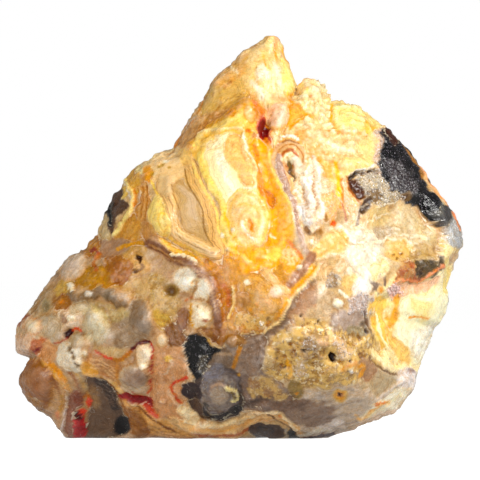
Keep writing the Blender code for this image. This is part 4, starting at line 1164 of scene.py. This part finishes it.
ragged_offset = wander(RAGGED, RAGGED_SIZE, 40) + wander(FINE_RAGGED, FINE_RAGGED_SIZE, 50)
cloudy_offset = wander(CLOUDY, CLOUDY_SIZE, 55)


def distance_to_curve(places, curve):
    """Distance to the curve, and how far along the curve its nearest place lies."""
    best = np.full(len(places), np.inf)
    along = np.zeros(len(places))
    walked = 0.0
    for start, end in zip(curve[:-1], curve[1:]):
        run = end - start
        length = math.hypot(run[0], run[1])
        if length == 0.0:
            continue
        share = np.clip(((places - start) @ run) / length**2, 0.0, 1.0)
        gap = np.hypot(places[:, 0] - start[0] - share * run[0], places[:, 1] - start[1] - share * run[1])
        nearer = gap < best
        best[nearer] = gap[nearer]
        along[nearer] = walked + share[nearer] * length
        walked += length
    return best, along


def inside_curve(places, curve):
    inside = np.zeros(len(places), bool)
    for start, end in zip(curve[:-1], curve[1:]):
        if start[1] == end[1]:
            continue
        crosses = (start[1] > places[:, 1]) != (end[1] > places[:, 1])
        slope = (end[0] - start[0]) / (end[1] - start[1])
        inside ^= crosses & (places[:, 0] < start[0] + (places[:, 1] - start[1]) * slope)
    return inside


# %% [markdown]
# Laying the markings on is one loop. For each, only the points near it are worked out: how much of it
# covers them, in which colour, and how high they stand. The distance to its edge is kept as well,
# because a material can draw layers much finer than the points from such a distance.

# %% Lay the markings on
BASE_COLOUR = (83, 73, 59)
FINISHES = ("jagged", "gloss", "frost", "druse", "crest", "crust", "crumb", "even")
SHARPNESS = 0.7
LAYERS_REACH = 14.0
NOISE_REACH = 4.0
RISE_RUN = 4.0
DASH_THIN = 0.45
DASH_SWELL = 0.75
CLOUDY_EDGE = 5.0
MOST_CLOUDY = 1.6
COVERS_LAYERS = 0.6

paint = np.tile(tint(BASE_COLOUR), (len(skin_points), 1))
height = np.zeros(len(skin_points))
layers_at = np.zeros(len(skin_points))
layers_share = np.zeros(len(skin_points))
finishes = {name: np.zeros(len(skin_points)) for name in FINISHES}


def near(mark):
    """Numbers of the points that the marking can reach."""
    low = mark["curve"].min(axis=0) - mark["reach"] - NOISE_REACH
    high = mark["curve"].max(axis=0) + mark["reach"] + NOISE_REACH
    close = (seen_at > low).all(axis=1) & (seen_at < high).all(axis=1)
    return np.nonzero(close)[0]


def ring_colours(rings, out):
    stops = [stop for stop, _ in rings]
    values = np.array([colour for _, colour in rings])
    return np.stack([np.interp(out, stops, values[:, part]) for part in range(3)], axis=1)


def measured(mark, places):
    """(depth inside the marking in pixels, its colour there, its relief from 0 to 1)."""
    if mark["kind"] == "area":
        gap, along = distance_to_curve(places, mark["curve"])
        deep = np.where(inside_curve(places, mark["curve"]), gap, -gap)
        return deep, mark["colour"], 1.0 - np.exp(-np.maximum(deep + 0.5, 0.0) / RISE_RUN)
    if mark["kind"] == "line":
        gap, along = distance_to_curve(places, mark["curve"])
        half = np.full(len(places), mark["width"] / 2)
        if mark["dashes"]:
            half = half * (DASH_THIN + DASH_SWELL * np.abs(np.sin(math.pi * along / mark["dashes"])))
        deep = half - gap
        return deep, mark["colour"], np.clip(1.0 - (gap / (half + 0.8)) ** 2, 0.0, 1.0)
    offset = places - mark["middle"]
    turn = mark["turn"]
    across = offset[:, 0] * math.cos(turn) - offset[:, 1] * math.sin(turn)
    down = offset[:, 0] * math.sin(turn) + offset[:, 1] * math.cos(turn)
    out = np.hypot(across / mark["radii"][0], down / mark["radii"][1])
    deep = (1.0 - out) * (mark["radii"][0] + mark["radii"][1]) / 2
    return deep, ring_colours(mark["rings"], out), np.sqrt(np.clip(1.0 - out**2, 0.0, 1.0))


for mark in MARKS:
    chosen = near(mark)
    if not len(chosen):
        continue
    places = seen_at[chosen] + ragged_offset[chosen] * mark["ragged"]
    if mark["kind"] == "area":
        places += cloudy_offset[chosen] * min(mark["edge"] / CLOUDY_EDGE, MOST_CLOUDY)
    deep, colour, form = measured(mark, places)
    cover = mark["share"] * eased(0.5 + deep / (mark["edge"] * SHARPNESS))
    paint[chosen] += (colour - paint[chosen]) * cover[:, None]
    height[chosen] += mark["rise"] * form
    if mark["kind"] == "area" and mark["layers"] is not None:
        taken = chosen[cover > 0.5]
        depth = deep[cover > 0.5]
        layers_at[taken] = depth
        layers_share[taken] = mark["layers"] * (1.0 - eased(depth / LAYERS_REACH - 0.5))
    elif mark["kind"] != "area" and mark["share"] > COVERS_LAYERS:
        layers_share[chosen] *= 1.0 - cover
    for name in FINISHES:
        finishes[name][chosen] += (mark["finish"].get(name, 0.0) - finishes[name][chosen]) * cover
print("relief from", round(height.min(), 2), "to", round(height.max(), 2), "mm")

# %% [markdown]
# The points are then moved along the surface's own direction: the relief of the markings,
# plus a fine unevenness that broken agate has everywhere, more where it is crusty or full of grains.
# Near the flat base all of it fades, so the stone still stands, and nothing may leave the solid's own box.

# %% Raise the relief
FINE = ((2.9, 0.16), (1.3, 0.09), (0.62, 0.06), (0.38, 0.035))
BUDS = ((2.4, 0.16), (0.9, 0.09))
BASE_FADE = 1.2 * MM
DRUSE_BACK = 0.5 * MM


def lumps(size, rise, seed):
    """Smooth lumps of a size in millimetres that rise and sink by so many millimetres."""
    return rise * noise(skin_points, size * MM, seed)


uneven = 1.0 - 0.8 * finishes["even"]
for step, (size, rise) in enumerate(FINE):
    height += uneven * lumps(size, rise, 60 + step)
for step, (size, rise) in enumerate(BUDS):
    height += uneven * (np.abs(lumps(size, rise, 65 + step)) - 0.25 * rise)

jagged = finishes.pop("jagged")
height += jagged * (np.abs(lumps(0.9, 0.85, 80)) + lumps(1.7, 0.6, 81) - 0.3)
at_rim = eased(1.0 - 1.8 * np.abs(skin_normals[:, 1]))
height += at_rim * (lumps(0.85, 0.3, 82) + lumps(2.1, 0.3, 83))
finishes["crust"] = np.maximum(finishes["crust"], 0.25 * jagged)
rough = np.maximum(finishes["crust"], 0.6 * finishes["frost"])
height += rough * (lumps(0.55, 0.16, 70) + lumps(0.3, 0.08, 71))
height += 0.6 * behind * eased(lumps(2.3, 1.6, 75))
finishes["druse"] *= skin_points[:, 1] > stone_low.y + DRUSE_BACK

fade = eased(skin_points[:, 2] / BASE_FADE)
moved = skin_points + skin_normals * (height * MM * fade)[:, None]
moved = np.clip(moved, np.array(stone_low), np.array(stone_high))
skin_mesh.vertices.foreach_set("co", moved.ravel())
skin_mesh.shade_smooth()
skin_mesh.update()
print("the skin is moved by up to", round(float(np.abs(height).max()), 2), "mm")

# %% [markdown]
# Dust, iron and shadow gather in the hollows of a rough stone, so the hollows get iron stain with painted
# shade, and the high places get painted light.
# How far a point lies below the average of its neighbours tells which it is, at a fine and at a broad scale.

# %% Find the hollows
edges = np.empty(len(skin_mesh.edges) * 2, np.int64)
skin_mesh.edges.foreach_get("vertices", edges)
ends = np.concatenate([edges[0::2], edges[1::2]])
others = np.concatenate([edges[1::2], edges[0::2]])
neighbours = np.bincount(ends, minlength=len(moved))


def spread(values, rounds):
    """Values averaged with those of their neighbours, again and again."""
    for turn in range(rounds):
        around = np.bincount(ends, weights=values[others], minlength=len(values)) / neighbours
        values = 0.5 * (values + around)
    return values


def hollowness(rounds):
    """How far the surface lies below its own average, in shares of what is usual."""
    below = np.zeros(len(moved))
    for part in range(3):
        below += (spread(moved[:, part], rounds) - moved[:, part]) * skin_normals[:, part]
    return below / below.std()


hollow = np.clip(0.55 * hollowness(3) + 0.4 * hollowness(24), -2.0, 2.0)
print("points in a clear hollow:", int((hollow > 1.0).sum()))

# %% [markdown]
# The colours were chosen for even light, so they are made stronger in the shade, stained and darkened with
# painted shade in the hollows, and made paler with painted light on the high places. Then each number is
# stored on the mesh, where the material finds it by name.

# %% Store the numbers that the material reads
def linear(colour):
    return np.where(colour <= 0.04045, colour / 12.92, ((colour + 0.055) / 1.055) ** 2.4)


def store(mesh, name, values):
    attribute = mesh.attributes.new(name, "FLOAT", "POINT")
    attribute.data.foreach_set("value", values.astype(np.float32))


DEPTH_OF_COLOUR = np.array([1.12, 1.12, 1.16])
STRENGTH_IN_SHADE = 1.45
STRENGTH_IN_LIGHT = 1.14
WARMTH_OF_SHADE = np.array([1.06, 0.96, 0.84])
STAIN_AND_PAINTED_SHADE = np.array([0.24, 0.36, 0.50])
STAIN_AND_PAINTED_SHADE_SHARE = 0.7
PALE_SPARED = 0.6
PAINTED_LIGHT_ON_HIGH_PLACES = 0.10
BRIGHTNESS = np.array([0.2126, 0.7152, 0.0722])

tones = linear(np.clip(paint, 0.0, 1.0)) ** DEPTH_OF_COLOUR
grey = (tones @ BRIGHTNESS)[:, None]
light = np.sqrt(np.clip(grey, 0.0, 1.0))
strength_here = STRENGTH_IN_SHADE + (STRENGTH_IN_LIGHT - STRENGTH_IN_SHADE) * light
tones = np.clip(grey + (tones - grey) * strength_here, 0.0, 1.0)
tones *= 1.0 + (WARMTH_OF_SHADE - 1.0) * (1.0 - light)
spared = 1.0 - PALE_SPARED * np.clip(grey, 0.0, 1.0) ** 2
# Hollows are darkened with iron stain and painted shade.
tones *= 1.0 - STAIN_AND_PAINTED_SHADE * np.clip(hollow, 0.0, 2.0)[:, None] * STAIN_AND_PAINTED_SHADE_SHARE * spared
# High places are made paler with painted light.
tones += (1.0 - tones) * PAINTED_LIGHT_ON_HIGH_PLACES * np.clip(-hollow, 0.0, 2.0)[:, None] * np.clip(grey * 3.0, 0.0, 1.0)
colours = np.ones((len(skin_points), 4), np.float32)
colours[:, :3] = np.clip(tones, 0.0, 1.0)
skin_mesh.attributes.new("paint", "FLOAT_COLOR", "POINT").data.foreach_set("color", colours.ravel())
store(skin_mesh, "layers_at", layers_at)
store(skin_mesh, "layers_share", layers_share)
for name, values in finishes.items():
    store(skin_mesh, name, values)
print("stored on the mesh:", ", ".join(attribute.name for attribute in skin_mesh.attributes))

# %% [markdown]
# The material adds what is too fine for points: hair-thin layers, cloudy mottling, specks and a polish.
# Agate lets a little light in, so some of it comes back from just under the surface.
# It is built node by node here, with a few small helpers that keep the lines short.

# %% Helpers for node trees
def opaque(red, green, blue):
    """A colour in hundredths, in the form that a socket takes."""
    return (red / 100, green / 100, blue / 100, 1.0)


class Nodes:
    """A node tree of any kind with a short way to add a node and join it up."""

    def __init__(self, tree):
        self.tree = tree

    def give(self, socket, value):
        if hasattr(value, "is_linked"):
            self.tree.links.new(value, socket)
        else:
            socket.default_value = value

    def add(self, kind, inputs, **settings):
        node = self.tree.nodes.new(kind)
        for name, value in settings.items():
            setattr(node, name, value)
        for name, value in inputs.items():
            self.give(node.inputs[name], value)
        return node.outputs


class Finish(Nodes):
    """A material's tree, with the nodes that the stone needs."""

    def __init__(self, material):
        material.use_nodes = True
        super().__init__(material.node_tree)
        self.shader = self.tree.nodes["Principled BSDF"]
        self.place = self.add("ShaderNodeTexCoord", {})["Object"]

    def shade(self, inputs):
        for name, value in inputs.items():
            self.give(self.shader.inputs[name], value)

    def number(self, name):
        return self.add("ShaderNodeAttribute", {}, attribute_name=name)["Fac"]

    def colour(self, name):
        return self.add("ShaderNodeAttribute", {}, attribute_name=name)["Color"]

    def math(self, operation, first, second=0.0):
        return self.add("ShaderNodeMath", {0: first, 1: second}, operation=operation)[0]

    def times(self, first, second):
        return self.math("MULTIPLY", first, second)

    def plus(self, first, second):
        return self.math("ADD", first, second)

    def minus(self, first, second):
        return self.math("SUBTRACT", first, second)

    def between(self, value, low, high, new_low=0.0, new_high=1.0):
        """A soft step from new_low, where the value is low, to new_high, where it is high."""
        inputs = {0: value, 1: low, 2: high, 3: new_low, 4: new_high}
        return self.add("ShaderNodeMapRange", inputs, interpolation_type="SMOOTHSTEP")[0]

    def mix(self, share, first, second, blend="MIX"):
        inputs = {0: share, 6: first, 7: second}
        return self.add("ShaderNodeMix", inputs, data_type="RGBA", blend_type=blend)[2]

    def tinted(self, first, second):
        """The first colour times the second, as if seen through it."""
        return self.mix(1.0, first, second, "MULTIPLY")

    def noise(self, size, detail=2.0, rough=0.5, bend=0.0):
        inputs = {"Vector": self.place, "Scale": 1.0 / size, "Detail": detail, "Roughness": rough,
                  "Distortion": bend}
        return self.add("ShaderNodeTexNoise", inputs)["Fac"]

    def cells(self, size):
        return self.add("ShaderNodeTexVoronoi", {"Vector": self.place, "Scale": 1.0 / size})["Distance"]

    def bump(self, strength, height, amount):
        inputs = {"Strength": strength, "Distance": height, "Height": amount}
        return self.add("ShaderNodeBump", inputs)["Normal"]


# %% The agate material
LAYER_PITCH = 2.3
SUBSURFACE = 0.12
AGATE_IOR = 1.54

stone = bpy.data.materials.new("agate_skin")
n = Finish(stone)
paint_in = n.colour("paint")

cloud = n.between(n.noise(1.3 * MM, detail=4.0, rough=0.6, bend=0.4), 0.3, 0.7, 0.86, 1.12)
grain = n.between(n.noise(0.24 * MM, detail=3.0, rough=0.6), 0.30, 0.70, 0.84, 1.12)
tone = n.times(cloud, grain)
rest = n.minus(1.0, n.times(n.number("even"), 0.7))
tone = n.plus(n.times(n.minus(tone, 1.0), rest), 1.0)
coloured = n.tinted(paint_in, tone)

# %% The hair-thin layers
depth_in = n.plus(n.number("layers_at"), n.times(n.noise(1.1 * MM, detail=3.0), 5.0))
wave = n.math("SINE", n.times(depth_in, 2 * math.pi / LAYER_PITCH))
slow = n.math("SINE", n.times(depth_in, 2 * math.pi / (LAYER_PITCH * 2.7)))
layering = n.plus(n.times(wave, 0.6), n.times(slow, 0.4))
patchy = n.between(n.noise(4.0 * MM), 0.42, 0.62, 0.15, 1.0)
layer_share = n.times(n.number("layers_share"), n.math("MAXIMUM", patchy, n.number("even")))
lighter = n.times(n.between(layering, 0.1, 0.9), n.times(layer_share, 0.8))
darker = n.times(n.between(layering, -0.1, -0.9), n.times(layer_share, 0.8))
coloured = n.mix(lighter, coloured, n.tinted(coloured, opaque(145, 145, 150)))
coloured = n.mix(darker, coloured, n.tinted(coloured, opaque(50, 36, 24)))

# %% A warm halo and a pale rim along each edge
edge_share = n.times(n.between(n.number("layers_share"), 0.1, 0.4), patchy)
from_edge = n.plus(n.number("layers_at"), n.times(n.noise(0.8 * MM, detail=3.0), 1.4))
halo = n.times(n.between(from_edge, 5.0, 2.0, 0.0, 0.55), edge_share)
coloured = n.mix(halo, coloured, n.tinted(coloured, opaque(95, 74, 44)))
off_line = n.math("ABSOLUTE", n.minus(from_edge, 1.3))
rim = n.times(n.between(off_line, 0.75, 0.25, 0.0, 0.48), edge_share)
coloured = n.mix(rim, coloured, opaque(93, 84, 62))

# %% Pale veils and thin brown threads
veil = n.between(n.noise(0.75 * MM, detail=3.0, rough=0.6, bend=1.2), 0.62, 0.74, 0.0, 0.22)
coloured = n.mix(n.times(veil, n.minus(1.0, n.number("crest"))), coloured, opaque(95, 90, 82))

away_from_line = n.math("ABSOLUTE", n.minus(n.noise(2.6 * MM, detail=4.0, rough=0.55, bend=1.4), 0.5))
thread = n.between(away_from_line, 0.022, 0.004, 0.0, 0.4)
glow = n.between(away_from_line, 0.08, 0.02, 0.0, 0.30)
clear = n.times(rest, n.minus(1.0, n.number("crest")))
coloured = n.mix(n.times(glow, clear), coloured, n.tinted(coloured, opaque(100, 82, 52)))
coloured = n.mix(n.times(thread, clear), coloured, n.tinted(coloured, opaque(84, 60, 32)))

# %% Crumbs of the ochre crust
crumb_in = n.number("crumb")
gold_bits = n.between(n.noise(1.7 * MM, detail=7.0, rough=0.72, bend=0.3), 0.455, 0.53, 0.0, 0.9)
coloured = n.mix(n.times(gold_bits, crumb_in), coloured, opaque(74, 46, 12))
pale_bits = n.between(n.noise(0.9 * MM, detail=6.0, rough=0.7, bend=0.3), 0.54, 0.62, 0.0, 0.8)
coloured = n.mix(n.times(pale_bits, crumb_in), coloured, opaque(88, 74, 46))
dark_bits = n.between(n.noise(1.3 * MM, detail=6.0, rough=0.7, bend=0.3), 0.57, 0.65, 0.0, 0.85)
coloured = n.mix(n.times(dark_bits, crumb_in), coloured, opaque(16, 9, 5))

# %% Grit and specks
grit = n.between(n.noise(0.34 * MM, rough=0.7), 0.57, 0.64)
grit_share = n.times(grit, n.number("crust"))
coloured = n.mix(grit_share, coloured, opaque(20, 12, 5))
speck = n.between(n.noise(0.42 * MM, detail=1.0), 0.74, 0.78, 0.0, 0.55)
coloured = n.mix(speck, coloured, n.tinted(coloured, opaque(40, 26, 14)))

# %% Frost and flecks of crystal
frosty = n.between(n.noise(0.30 * MM, detail=3.0, rough=0.7), 0.50, 0.66)
frost_share = n.times(frosty, n.times(n.number("frost"), 0.75))
coloured = n.mix(frost_share, coloured, opaque(90, 88, 88))
fleck = n.between(n.noise(0.26 * MM, rough=0.6), 0.60, 0.68)
fleck_share = n.times(fleck, n.times(n.number("crest"), 0.45))
coloured = n.mix(fleck_share, coloured, opaque(38, 33, 40))

# %% Shine, depth and a fine unevenness
shine = n.between(n.noise(0.8 * MM), 0.3, 0.7, 0.31, 0.18)
less = n.times(n.number("gloss"), 0.12)
facets = n.cells(0.5 * MM)
facet_share = n.math("MAXIMUM", n.number("frost"), n.number("crest"))
crystal = n.times(facets, n.times(facet_share, 0.9))
surface = n.plus(n.times(layering, n.times(layer_share, 0.16)), crystal)
surface = n.plus(surface, n.noise(0.45 * MM, detail=4.0, rough=0.6))
n.shade({"Base Color": coloured, "Roughness": n.minus(shine, less), "IOR": AGATE_IOR,
         "Specular IOR Level": 0.32, "Subsurface Weight": SUBSURFACE, "Subsurface Scale": 0.9 * MM,
         "Subsurface Radius": (1.0, 0.7, 0.45), "Normal": n.bump(0.55, 0.16 * MM, surface)})
print("the stone's material has", len(n.tree.nodes), "nodes")

# %% [markdown]
# The skin now becomes the piece that is shown instead of the plain solid, in the same place.

# %% Make the stone and tie it to the plain solid
skin = bpy.data.objects.new("agate_stone", skin_mesh)
bpy.context.collection.objects.link(skin)
skin_mesh.materials.append(stone)
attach(skin, "root")
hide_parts("agate")
print("the stone is one piece on the body root")

# %% [markdown]
# Where a cavity stayed open, tiny quartz crystals lined it, which is called druse.
# They are scattered by Geometry Nodes: points are strewn over the skin where its druse number is high,
# and a small many-sided grain goes on each. It is much quicker than placing thousands by hand,
# and the named inputs let a reader change how many and how large they are.

# %% A node tree that strews grains
GRAIN_DENSITY = 9.0e6
GRAIN_SMALLEST = 0.10 * MM
GRAIN_LARGEST = 0.26 * MM
GRAIN_SEED = 7


def grain_tree():
    tree = bpy.data.node_groups.new("strewn_grains", "GeometryNodeTree")
    for name, kind in (("Surface", "Geometry"), ("Grains per square metre", "Float"),
                       ("Smallest radius", "Float"), ("Largest radius", "Float"), ("Seed", "Int"),
                       ("Material", "Material")):
        tree.interface.new_socket(name, in_out="INPUT", socket_type="NodeSocket" + kind)
    tree.interface.new_socket("Grains", in_out="OUTPUT", socket_type="NodeSocketGeometry")
    n = Nodes(tree)
    given = n.add("NodeGroupInput", {})
    seed = given["Seed"]
    druse = n.add("GeometryNodeInputNamedAttribute", {"Name": "druse"}, data_type="FLOAT")["Attribute"]
    wanted = {0: given["Grains per square metre"], 1: druse}
    density = n.add("ShaderNodeMath", wanted, operation="MULTIPLY")[0]
    points = n.add("GeometryNodeDistributePointsOnFaces",
                   {"Mesh": given["Surface"], "Density": density, "Seed": seed})["Points"]
    radii = {2: given["Smallest radius"], 3: given["Largest radius"], "Seed": seed}
    radius = n.add("FunctionNodeRandomValue", radii)[1]
    full_turn = (6.28, 6.28, 6.28)
    turn = n.add("FunctionNodeRandomValue", {1: full_turn, "Seed": seed}, data_type="FLOAT_VECTOR")["Value"]
    grain = n.add("GeometryNodeMeshIcoSphere", {"Radius": 1.0, "Subdivisions": 1})["Mesh"]
    placed = n.add("GeometryNodeInstanceOnPoints",
                   {"Points": points, "Instance": grain, "Rotation": turn, "Scale": radius})["Instances"]
    real = n.add("GeometryNodeRealizeInstances", {"Geometry": placed})["Geometry"]
    dressed = n.add("GeometryNodeSetMaterial", {"Geometry": real, "Material": given["Material"]})["Geometry"]
    n.add("NodeGroupOutput", {"Grains": dressed})
    return tree


# %% The grains' own material
grain_material = bpy.data.materials.new("druse")
g = Finish(grain_material)
pale = g.mix(0.30, g.colour("paint"), opaque(90, 88, 88))
toned = g.tinted(pale, g.between(g.noise(0.5 * MM), 0.3, 0.7, 0.70, 1.15))
g.shade({"Base Color": toned, "Roughness": 0.18, "IOR": AGATE_IOR, "Subsurface Weight": SUBSURFACE,
         "Subsurface Scale": 0.3 * MM, "Subsurface Radius": (1.0, 0.9, 0.85)})

# %% Strew the grains and keep them as a plain mesh
seed_object = bpy.data.objects.new("druse_seed", skin_mesh.copy())
bpy.context.collection.objects.link(seed_object)
strew = seed_object.modifiers.new("strew", "NODES")
strew.node_group = grain_tree()
settings = {"Grains per square metre": GRAIN_DENSITY, "Smallest radius": GRAIN_SMALLEST,
            "Largest radius": GRAIN_LARGEST, "Seed": GRAIN_SEED, "Material": grain_material}
for socket in strew.node_group.interface.items_tree:
    if socket.name in settings:
        strew[socket.identifier] = settings[socket.name]
bpy.context.view_layer.update()
graph = bpy.context.evaluated_depsgraph_get()
grain_mesh = bpy.data.meshes.new_from_object(seed_object.evaluated_get(graph))
bpy.data.objects.remove(seed_object, do_unlink=True)
grain_mesh.name = "druse_grains"
grains = bpy.data.objects.new("druse_grains", grain_mesh)
bpy.context.collection.objects.link(grains)
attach(grains, "root")
print("the druse has", len(grain_mesh.polygons), "faces")

# %% [markdown]
# The stage is a photographer's white table: a pale floor, a pale surround, and three soft lights. The key
# light comes from the upper right, the fill from the left in front, and a weak one from the right side.
# A long lens far away keeps the stone free of any wide-angle swelling, as a product picture does.

# %% Floor, light and camera
LENS = 900.0
CAMERA_AWAY = 1.8
FLOOR_HALF = 6.0

floor_mesh = bpy.data.meshes.new("floor")
floor_corners = [(across * FLOOR_HALF, away * FLOOR_HALF, 0.0)
                 for across, away in ((-1, -1), (1, -1), (1, 1), (-1, 1))]
floor_mesh.from_pydata(floor_corners, [], [(0, 1, 2, 3)])
floor = bpy.data.objects.new("floor", floor_mesh)
bpy.context.collection.objects.link(floor)
paper = bpy.data.materials.new("white_paper")
p = Finish(paper)
seen = p.add("ShaderNodeLightPath", {})["Is Camera Ray"]
p.shade({"Base Color": opaque(35, 35, 35), "Roughness": 1.0, "Specular IOR Level": 0.0,
         "Emission Color": opaque(100, 100, 100), "Emission Strength": p.between(seen, 0.0, 1.0, 0.25, 0.94)})
floor_mesh.materials.append(paper)

world = bpy.data.worlds.new("white_surround")
world.use_nodes = True
sky = Nodes(world.node_tree)
seen = sky.add("ShaderNodeLightPath", {})["Is Camera Ray"]
strength = sky.add("ShaderNodeMapRange", {"Value": seen, "To Min": 0.16, "To Max": 1.0})["Result"]
background = sky.tree.nodes["Background"]
sky.give(background.inputs["Color"], opaque(100, 100, 100))
sky.give(background.inputs["Strength"], strength)
bpy.context.scene.world = world


def soft_light(name, direction, distance, size, watts, hue):
    """A square lamp that looks at the stone from the given direction."""
    data = bpy.data.lights.new(name, "AREA")
    data.size = size
    data.energy = watts
    data.color = hue
    lamp = bpy.data.objects.new(name, data)
    towards = Vector(direction).normalized()
    lamp.location = MIDDLE + towards * distance
    lamp.rotation_mode = "QUATERNION"
    lamp.rotation_quaternion = towards.to_track_quat("Z", "Y")
    bpy.context.collection.objects.link(lamp)


soft_light("key", (0.62, -0.42, 0.66), 0.6, 0.16, 3.3, (1.0, 0.985, 0.95))
soft_light("fill", (-0.50, -0.78, 0.40), 0.8, 0.5, 3.95, (1.0, 0.985, 0.96))
soft_light("side", (0.96, -0.25, 0.12), 0.7, 0.4, 1.2, (1.0, 0.99, 0.97))

camera_data = bpy.data.cameras.new("camera")
camera_data.lens = LENS
camera_data.sensor_width = 36.0
camera_data.clip_start = 0.01
camera_data.clip_end = 100.0
camera = bpy.data.objects.new("camera", camera_data)
camera.location = (0.0, -CAMERA_AWAY, (FLOOR_ROW - MIDDLE_COLUMN) * PIXEL)
camera.rotation_euler = (math.pi / 2, 0.0, 0.0)
bpy.context.collection.objects.link(camera)
bpy.context.scene.camera = camera
bpy.context.scene.view_settings.view_transform = "Standard"
